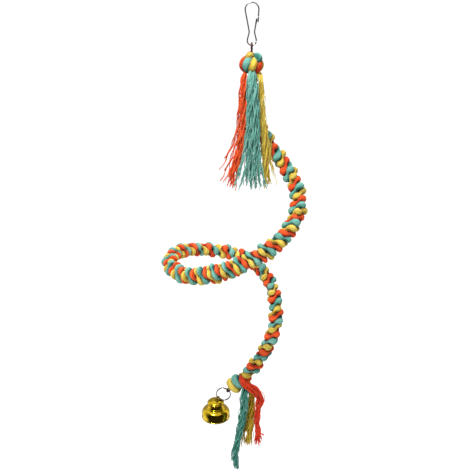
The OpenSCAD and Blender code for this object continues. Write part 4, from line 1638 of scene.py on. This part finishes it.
@dataclass
class SnapHook:
    """The pear-shaped spring hook: a bow with a flattened nose, and its sprung leg."""

    sizes: PerchSizes
    top_w: float = 13.6 * MM
    loop_w: float = 9.6 * MM
    waist_w: float = 4.8 * MM
    bend_r: float = 3.0 * MM
    waist_rise: float = 7.6 * MM
    latch_drop: float = 16.4 * MM
    latch_lap: float = 4.8 * MM
    nose_t: float = 0.8 * MM
    nose_w: float = 2.2 * MM
    nose_lean: float = 4.0
    nose_fuller: float = 0.15 * MM
    gate_foot: float = -8.0
    gate_open: float = 22.0
    cap: float = 0.35 * MM
    blunt: float = 0.25
    squaring: float = 0.65
    sides: int = 24
    lap_ease: float = 2.0 * MM
    tip_ease: float = 0.9 * MM
    tip_narrower: float = 0.35
    nose_square: float = 0.7

    def __post_init__(self) -> None:
        """Works out the hook's circles and tangents, as the CAD source does."""
        self.r = self.sizes.wire_d / 2
        self.top_r = self.top_w / 2 - self.r
        self.loop_r = self.loop_w / 2 - self.r
        self.top_c = np.array([0.0, self.r - self.top_r])
        self.loop_c = np.array([0.0, self.sizes.hang_z + self.loop_r])
        self.waist_c = np.array([-self.waist_w / 2 - self.bend_r, self.loop_c[1] + self.waist_rise])
        self.leg = self.tangent(self.top_c, self.top_r, -1)
        self.foot = self.tangent(self.loop_c, self.loop_r, 1)

    def tangent(self, centre: Array, r: float, sign: int) -> float:
        """Returns the angle at which the crossing tangent to the waist leaves a circle."""
        v = self.waist_c - centre
        turn = math.degrees(math.acos((r + self.bend_r) / np.linalg.norm(v)))
        return (math.degrees(math.atan2(v[1], v[0])) + sign * turn + 360) % 360

    def nose_at(self, z: float) -> Array:
        """Returns the nose line's point at a height."""
        start = self.top_c + self.top_r * ray(-self.nose_lean)
        way = -ray(90 - self.nose_lean)
        return start + way * (z - start[1]) / way[1]

    def bow_line(self) -> Array:
        """Lays out the bow.

        Returns:
            Its middle line from the nose's tip to its foot, in its plane.
        """
        tip = self.nose_at(-self.latch_drop)
        lap = self.nose_at(self.latch_lap - self.latch_drop)
        room = self.r * math.sin(math.radians(self.gate_open)) + self.sizes.run_gap
        gap = math.degrees(room / self.loop_r)
        leg, foot = ray(self.leg), ray(self.foot)
        return np.vstack([
            np.linspace(tip, lap, 22),
            np.linspace(lap, self.top_c + self.top_r * ray(-self.nose_lean), 12)[1:-1],
            arc(self.top_c, self.top_r, -self.nose_lean, self.leg, 60),
            np.linspace(self.top_c + self.top_r * leg, self.waist_c - self.bend_r * leg, 24)[1:-1],
            arc(self.waist_c, self.bend_r, self.leg - 180, self.foot - 180, 16),
            np.linspace(self.waist_c - self.bend_r * foot, self.loop_c + self.loop_r * foot, 8)[1:-1],
            arc(self.loop_c, self.loop_r, self.foot, 360 + self.gate_foot - gap, 40),
        ])

    def gate_line(self) -> Array:
        """Lays out the gate.

        Returns:
            Its middle line from its foot to its tip, in its plane.
        """
        lap = self.nose_at(self.latch_lap - self.latch_drop)
        tip = self.nose_at(lap[1] - 2 * self.r - self.sizes.run_gap)
        tip = tip - np.array([self.nose_t / 2 + self.sizes.run_gap + self.r, 0.0])
        waist = np.array([-self.waist_c[0], self.waist_c[1]])
        foot = 180 - self.foot
        reach = tip - waist
        turn = math.degrees(math.atan2(reach[1], reach[0]) + math.acos(self.bend_r / np.linalg.norm(reach)))
        return np.vstack([
            arc(self.loop_c, self.loop_r, self.gate_foot, foot, 12),
            np.linspace(self.loop_c + self.loop_r * ray(foot), waist - self.bend_r * ray(foot), 8)[1:-1],
            arc(waist, self.bend_r, 360 - self.foot, turn, 16),
            np.linspace(waist + self.bend_r * ray(turn), tip, 20)[1:],
        ])

    def bar(
        self, line: Array, half_in: Array, half_y: Array, square: Array, name: str, shop: Workshop
    ) -> bpy.types.Object:
        """Sweeps a bar with a changing section along a line in the hook's plane.

        Args:
            line: its middle line.
            half_in: half its thickness in the plane, at each point.
            half_y: half its width square to the plane.
            square: how square its section is, from zero for round to one.
            name: the piece's name.
            shop: what it is made with.

        Returns:
            The piece.
        """
        run = Run.through(upright(line), DEPTH)
        lengths = run.lengths()
        total, cap = lengths[-1], self.cap
        curve = cap * (1 - np.cos(np.linspace(0, math.pi / 2, 5)))
        between = lengths[(lengths > cap * 1.2) & (lengths < total - cap * 1.2)]
        end = total - cap * (1 - np.cos(np.linspace(math.pi / 2, 0, 5)))
        places = np.concatenate([curve, between, end])
        inset = np.minimum(places, total - places)
        pinch = self.blunt + (1 - self.blunt) * np.sqrt(1 - (1 - np.clip(inset / cap, 0, 1)) ** 2)
        mid, plane = rows_at(places, lengths, run.points), rows_at(places, lengths, run.other)
        section = rows_at(places, lengths, np.column_stack([half_in, half_y, square]))
        a = np.linspace(0, 2 * math.pi, self.sides, endpoint=False)
        rings = []
        for i, (t, y, corner) in enumerate(section):
            power = 1 - self.squaring * corner
            c = np.sign(np.cos(a)) * np.abs(np.cos(a)) ** power
            w = np.sign(np.sin(a)) * np.abs(np.sin(a)) ** power
            rings.append(mid[i] + pinch[i] * (y * c[:, None] * DEPTH + t * w[:, None] * plane[i]))
        points, faces = loft(np.array(rings))
        piece = mesh_from(name, points, faces, shop.material(HOOK_STEEL))
        around = np.tile(np.arange(self.sides) / self.sides, len(places))
        # the last two values are those of the ends' middle points
        carry(
            piece.data,
            run=np.concatenate([np.repeat(places, self.sides), [0.0, total]]),
            around=np.concatenate([around, [0.0, 0.0]]),
        )
        return piece

    def build(self, shop: Workshop) -> None:
        """Bends and seats the bow and the gate.

        Args:
            shop: what its pieces are made with.
        """
        line = self.bow_line()
        lengths = travelled(upright(line))
        flat = 1 - smooth((lengths - (self.latch_lap - self.lap_ease / 2)) / self.lap_ease)
        round_tip = 1 - smooth(lengths / self.tip_ease)
        line[:, 0] += self.nose_fuller * flat
        half_in = self.r + (self.nose_t / 2 + self.nose_fuller - self.r) * flat
        half_y = self.r + (self.nose_w / 2 - self.r) * flat * (1 - self.tip_narrower * round_tip)
        bow = self.bar(line, half_in, half_y, flat * self.nose_square, "hook_bow_wire", shop)
        seat(bow, "hook", "hook_wire", "hook_bow")
        line = self.gate_line()[::-1]
        even = np.full(len(line), self.r)
        gate = self.bar(line, even, even, even * 0, "hook_gate_wire", shop)
        seat(gate, "gate", "hook_wire", "hook_gate")


@dataclass
class RingAndBell:
    """The split ring in the lower eye, the bell that hangs on it and its clapper."""

    sizes: PerchSizes
    route: Route
    ring_d: float = 16.4 * MM
    ring_wire_d: float = 1.0 * MM
    coil_gap: float = 0.08 * MM
    swing: float = 35.0
    bell_angle: float = 217.0
    bell_d: float = 31.6 * MM
    bell_h: float = 21.6 * MM
    crown_d: float = 17.4 * MM
    crown_h: float = 9.8 * MM
    dome_h: float = 2.8 * MM
    bead_r: float = 0.6 * MM
    wall: float = 0.8 * MM
    loop_in_d: float = 3.6 * MM
    loop_wire_d: float = 1.1 * MM
    hanger_r: float = 1.6 * MM
    clapper_l: float = 12.6 * MM
    ball_d: float = 7.0 * MM
    seam_depth: float = 0.03
    seam_width: float = 0.05
    lean_share: float = 0.04
    flare_power: float = 0.42
    flare_full: float = 0.62
    belly: float = 0.3 * MM
    ring_finer: float = 0.08 * MM

    def __post_init__(self) -> None:
        """Works out where the links hang, as the CAD source does."""
        s = self.sizes
        self.eye_c = self.route.at(np.array([self.route.length + s.end_stem + s.eye_r]))[0]
        way = self.route.end_way
        self.ring_angle = math.degrees(math.atan2(-way[2], -way[0]))
        self.pitch = self.ring_wire_d + self.coil_gap
        self.ring_r = (self.ring_d - self.ring_wire_d) / 2
        pivot = self.eye_c - self.seat_depth(s.eye_in_d) * self.out(self.ring_angle)
        self.ring_c = pivot - self.ring_r * self.out(self.ring_angle) - self.coils_y(self.ring_angle)
        bell_pivot = self.ring_c + self.ring_r * self.out(self.bell_angle) + self.coils_y(self.bell_angle)
        self.loop_r = (self.loop_in_d + self.loop_wire_d) / 2
        self.loop_c = bell_pivot + self.seat_depth(self.loop_in_d) * self.out(self.bell_angle)
        self.loop_foot = self.loop_c + self.loop_r * self.out(self.bell_angle)
        self.crown = self.loop_foot - (self.loop_wire_d / 2 + s.run_gap) * UP
        self.rivet_r = 1.2 * self.loop_wire_d + self.hanger_r / 2
        self.rivet_t = self.wall * 0.75
        fall = self.dome_h * (1 - math.cos(math.asin(self.rivet_r / (self.crown_d / 2))))
        self.rivet_z = -self.wall - fall - s.run_gap - self.rivet_t
        self.hanger_z = self.crown[2] + self.rivet_z - self.loop_wire_d

    def out(self, angle: float) -> Array:
        """Returns the direction at an angle in the ring's plane."""
        c, s = ray(angle)
        return np.array([c, 0.0, s])

    def coils_y(self, angle: float) -> Array:
        """Returns how far back the middle of the two coils is at an angle."""
        c, s = ray(angle)
        return np.array([0.0, (-1 if c > 0 else 1) * (1 + s) * self.pitch / 4, 0.0])

    def seat_depth(self, in_d: float) -> float:
        """Returns how far the coils' middle lies from the middle of an eye."""
        h, s = self.pitch / 2, math.sin(math.radians(self.swing))
        free = in_d / 2 - self.ring_wire_d / 2 - self.sizes.run_gap
        return math.sqrt(free * free - h * h * (1 - s * s)) - h * s

    def ring_points(self) -> Array:
        """Winds the split ring.

        Returns:
            Its middle line, two turns from end to end.
        """
        angles = np.linspace(-90.0, 630.0, 241)
        # each half turn leans about X, so the depth follows the height on the ring
        points = []
        for angle, half in zip(angles, np.linspace(0, 4, 241)):
            i = min(int(half), 3)
            side = 1 if i % 2 == 0 else -1
            y = (i - 1.5) * self.pitch / 2 - side * math.sin(math.radians(angle)) * self.pitch / 4
            points.append(self.ring_c + self.ring_r * self.out(angle) + y * DEPTH)
        return np.array(points)

    def profile(self) -> tuple[Array, Array]:
        """Draws the bell.

        Returns:
            Its outside and its inside outline, from beside the axis to the rim.
        """
        r0 = self.crown_d / 2
        flare_r = r0 * (1 + self.lean_share)
        a = np.linspace(0, math.pi / 2, 15)
        dome = np.column_stack([r0 * np.sin(a), self.dome_h * (np.cos(a) - 1)])
        v = np.linspace(0, 1, 40)
        spread = np.sin(np.minimum(v / self.flare_full, 1) * math.pi / 2) ** self.flare_power
        out = self.bell_d / 2 - self.bead_r - flare_r
        flare = np.column_stack([
            flare_r + out * spread + self.belly * np.sin(v * math.pi) ** 2,
            -(self.crown_h + (self.bell_h - 2 * self.bead_r - self.crown_h) * v),
        ])
        waist = np.linspace(dome[-1], flare[0], 10)[1:-1]
        wall = np.vstack([dome, waist, flare])

        def bead(centre: Sequence[float], start: float, end: float, steps: int) -> Array:
            """Returns an arc of one of the round beads."""
            return arc(np.array(centre), self.bead_r, start, end, steps)

        outside = np.vstack([
            dome,
            bead([r0, -self.dome_h - self.bead_r], 84, -90, 12),
            bead([flare_r, self.bead_r - self.crown_h], 90, -60, 12),
            flare[1:],
            bead([self.bell_d / 2 - self.bead_r, self.bead_r - self.bell_h], 55, -165, 16),
        ])
        t = unit(np.vstack([wall[1:], wall[-1:]]) - np.vstack([wall[:1], wall[:-1]]))
        inside = wall + self.wall * np.column_stack([t[:, 1], -t[:, 0]])
        return outside[1:], inside[1:]

    def build_bell(self, shop: Workshop) -> None:
        """Spins the bell and seats it.

        Args:
            shop: what its pieces are made with.
        """
        outside, inside = self.profile()
        hole = self.loop_wire_d / 2 + self.sizes.run_gap
        outline = np.vstack([[[hole, 0.0]], outside, inside[::-1], [[hole, -self.wall]]])
        finish = BellFinish("bell_gold_plate", "#DDBA2A", "#8A6614", (self.crown[0], self.crown[1]))
        self.turn("bell_spun_shell", outline, self.crown, 128, finish, shop, "bell", "bell_shell")

    def turn(
        self, name: str, profile: Array, centre: Array, sides: int, finish: object, shop: Workshop,
        body: str, *nodes: str,
    ) -> None:
        """Spins a piece of the bell or the clapper and seats it.

        Args:
            name: the piece's name.
            profile: its outline.
            centre: where its axis meets height zero.
            sides: faces round the axis.
            finish: the material's description.
            shop: what it is made with.
            body: the CAD body that it rides on, whose name its slot starts with.
            nodes: the CAD nodes that it stands for.
        """
        points, faces = spun(profile, centre, sides)
        seat(mesh_from(name, points, faces, shop.material(finish)), body, body + "_metal", *nodes)

    def build_loop(self, shop: Workshop) -> None:
        """Bends the bell's loop, stem, rivet and hanger, and seats them as one piece.

        Args:
            shop: what its pieces are made with.
        """
        out = self.out(self.bell_angle)
        ring = hoop(self.loop_c, self.loop_r, out, DEPTH, 40)
        rivet_c = self.crown + self.rivet_z * UP
        stem = np.linspace(self.loop_foot, rivet_c, 8)[1:]
        wire = shop.wire("bell_loop_wire", np.vstack([ring, stem]), LOOP_WIRE, self.loop_wire_d, 14)
        seat(wire, "bell", "bell_metal", "bell_loop")
        bend = arc(np.array([self.crown[0], self.hanger_z]), self.hanger_r, 180, 360, 24)
        rise = np.array([0.0, self.loop_wire_d + self.rivet_t / 2])
        line = upright(np.vstack([bend[:1] + rise, bend, bend[-1:] + rise]), self.crown[1])
        hanger = shop.wire("bell_inner_hanger", line, LOOP_WIRE, self.loop_wire_d, 12)
        seat(hanger, "bell", "bell_metal")
        r, t, edge, pole = self.rivet_r, self.rivet_t, self.rivet_t / 3, 0.2 * MM
        profile = np.array([[pole, t], [r - edge, t], [r, t - edge], [r, edge], [r - edge, 0], [pole, 0]])
        self.turn("bell_rivet_head", profile, rivet_c, 48, LOOP_WIRE, shop, "bell")

    def build_clapper(self, shop: Workshop) -> None:
        """Bends the clapper's eye and rod, turns its ball and seats them.

        Args:
            shop: what its pieces are made with.
        """
        pivot = np.array([self.crown[0], self.crown[1], self.hanger_z - self.hanger_r])
        eye_c = pivot - (self.hanger_r - self.loop_wire_d - self.sizes.run_gap) * UP
        ball_c = pivot - self.clapper_l * UP
        ring = hoop(eye_c, self.hanger_r, -UP, DEPTH, 36)
        rod = np.linspace(ring[-1], ball_c, 8)[1:]
        wire = shop.wire("clapper_rod", np.vstack([ring, rod]), CLAPPER_STEEL, self.loop_wire_d, 12)
        seat(wire, "clapper", "clapper_metal", "clapper")
        a = np.linspace(0.02, math.pi - 0.02, 33)
        profile = self.ball_d / 2 * np.column_stack([np.sin(a), np.cos(a)])
        # a shallow seam runs round the ball's middle
        seam = 1 - self.seam_depth * np.exp(-((a - math.pi / 2) / self.seam_width) ** 2)
        self.turn("clapper_ball", profile * seam[:, None], ball_c, 48, CLAPPER_STEEL, shop, "clapper")

    def build(self, shop: Workshop) -> None:
        """Makes the ring, the bell and the clapper.

        Args:
            shop: what its pieces are made with.
        """
        thickness = self.ring_wire_d - self.ring_finer
        ring = shop.wire("split_ring_coils", self.ring_points(), RING_NICKEL, thickness, 14)
        seat(ring, "ring", "ring_wire", "split_ring")
        self.build_bell(shop)
        self.build_loop(shop)
        self.build_clapper(shop)


# The studio


@dataclass
class Studio:
    """Pale floor, soft light and the photograph's camera."""

    look_at: tuple[float, float, float] = (-0.0152, 0.0, -0.2196)
    camera_at: tuple[float, float, float] = (-0.0152, -0.6390, 0.0130)
    lens: float = 52.1
    floor_z: float = -0.84
    floor_r: float = 30.0
    floor_glow: float = 1.25
    floor_share: float = 0.8
    card_r: float = 0.6
    card_back: float = 0.6
    room_light: float = 0.19

    def camera(self) -> None:
        """Sets the camera up."""
        data = bpy.data.cameras.new("photo_camera")
        data.lens = self.lens
        data.clip_start = 0.01
        data.clip_end = 200.0
        obj = bpy.data.objects.new("photo_camera", data)
        obj.location = self.camera_at
        way = Vector(self.look_at) - Vector(self.camera_at)
        obj.rotation_euler = way.to_track_quat("-Z", "Y").to_euler()
        bpy.context.scene.collection.objects.link(obj)
        bpy.context.scene.camera = obj

    def lamp(
        self, name: str, place: tuple[float, float, float], size: float, watts: float, mirrored: bool = True
    ) -> None:
        """Adds a soft round lamp that points at the object, and that metal mirrors or not.

        Args:
            name: its name.
            place: where it stands.
            size: its width.
            watts: its power.
            mirrored: whether metal shows it.
        """
        data = bpy.data.lights.new(name, "AREA")
        data.shape = "DISK"
        data.size = size
        data.energy = watts
        obj = bpy.data.objects.new(name, data)
        obj.location = place
        obj.rotation_euler = (Vector(self.look_at) - Vector(place)).to_track_quat("-Z", "Y").to_euler()
        obj.visible_glossy = mirrored
        bpy.context.scene.collection.objects.link(obj)

    def floor(self) -> None:
        """Lays a pale floor that keeps the object's shadow."""
        a = np.linspace(0, 2 * math.pi, 64, endpoint=False)
        ring = np.column_stack([np.cos(a), np.sin(a), np.zeros(64)]) * self.floor_r
        ring[:, 2] = self.floor_z
        mesh = bpy.data.meshes.new("studio_floor")
        mesh.from_pydata([tuple(p) for p in ring], [], [tuple(range(64))])
        obj = new_object("studio_floor", mesh)
        s = Shading("studio_floor_white")
        s.look(Base_Color=linear("#F4F4F4"), Roughness=0.9)
        glow = s.add("ShaderNodeEmission", {"Strength": self.floor_glow}).outputs["Emission"]
        share = s.times(s.seen(), self.floor_share)
        s.link(s.mixed(share, s.shader.outputs["BSDF"], glow), s.output.inputs["Surface"])
        mesh.materials.append(s.material)

    def dark_card(self) -> None:
        """Stands soft-edged dark cards before and behind, which only polished metal shows."""
        tilts = np.linspace(-88, 60, 65)
        turns = np.linspace(-180, 180, 121)
        az, el = np.meshgrid(np.radians(turns), np.radians(tilts))
        ways = np.stack([np.cos(el) * np.sin(az), -np.cos(el) * np.cos(az), np.sin(el)], axis=-1)
        points = self.card_r * ways.reshape(-1, 3) + np.array(self.look_at)
        side = np.abs(turns)[None, :]
        up = tilts[:, None]
        low = smooth(-up / 30)

        def within(value: Array, edge: Array, soft: Array) -> Array:
            """Returns one well below an edge in degrees and zero past it, with a soft border."""
            return smooth((edge - value) / soft)

        front = within(side, 122 - 30 * low, 64 - 30 * low) * within(-up, 88, 10) * within(up, 46, 18)
        back = self.card_back * within(-side, -122, 18) * within(-up, 76, 24) * within(up, 42, 20)
        rows, columns = len(tilts), len(turns)
        faces = [
            (columns * i + j, columns * i + j + 1, columns * (i + 1) + j + 1, columns * (i + 1) + j)
            for i in range(rows - 1)
            for j in range(columns - 1)
        ]
        s = Shading("studio_card_black")
        s.look(Base_Color=linear("#1A1712"), Roughness=0.9)
        clear = s.add("ShaderNodeBsdfTransparent").outputs["BSDF"]
        shade = s.mixed(s.attribute("shade"), clear, s.shader.outputs["BSDF"])
        s.link(shade, s.output.inputs["Surface"])
        card = mesh_from("studio_card", points, faces, s.material)
        carry(card.data, shade=np.maximum(front, back).ravel())
        card.visible_camera = False
        card.visible_diffuse = False
        card.visible_transmission = False
        card.visible_shadow = False

    def sky(self) -> None:
        """Lights the room evenly and shows it white."""
        world = bpy.data.worlds.new("studio_room")
        world.use_nodes = True
        nodes = Nodes(world.node_tree)
        white = (1.0, 1.0, 1.0, 1.0)
        soft, bright = (
            nodes.add("ShaderNodeBackground", {"Color": white, "Strength": strength}).outputs[0]
            for strength in (self.room_light, 1.0)
        )
        nodes.add("ShaderNodeOutputWorld", {"Surface": nodes.mixed(nodes.seen(), soft, bright)})
        bpy.context.scene.world = world

    def build(self) -> None:
        """Sets the whole studio up."""
        bpy.context.scene.view_settings.view_transform = "Standard"
        self.camera()
        self.floor()
        self.sky()
        self.dark_card()
        self.lamp("key_light", (-0.45, -0.6, 1.1), 0.45, 27.0)
        self.lamp("fill_light", (0.5, -1.1, -0.1), 0.8, 3.5, False)
        self.lamp("back_light", (0.4, 1.0, 0.7), 0.8, 15.0, False)


def main() -> None:
    """Loads the frame, sets the studio up and builds each sub-assembly."""
    logging.basicConfig(level=logging.INFO, format="%(name)s: %(message)s")
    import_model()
    Studio().build()
    sizes = PerchSizes()
    route = Route(sizes)
    shop = Workshop(YarnTree(), LintTree())
    builders: list[Callable[[Workshop], None]] = [
        SnapHook(sizes).build,
        CoreWire(sizes, route).build,
        PerchCords(sizes, route).build,
        TopKnot(sizes).build,
        EndWraps(sizes, route).build,
        Tassels(sizes, route).build,
        RingAndBell(sizes, route).build,
    ]
    for build in builders:
        build(shop)


if __name__ == "__main__":
    main()
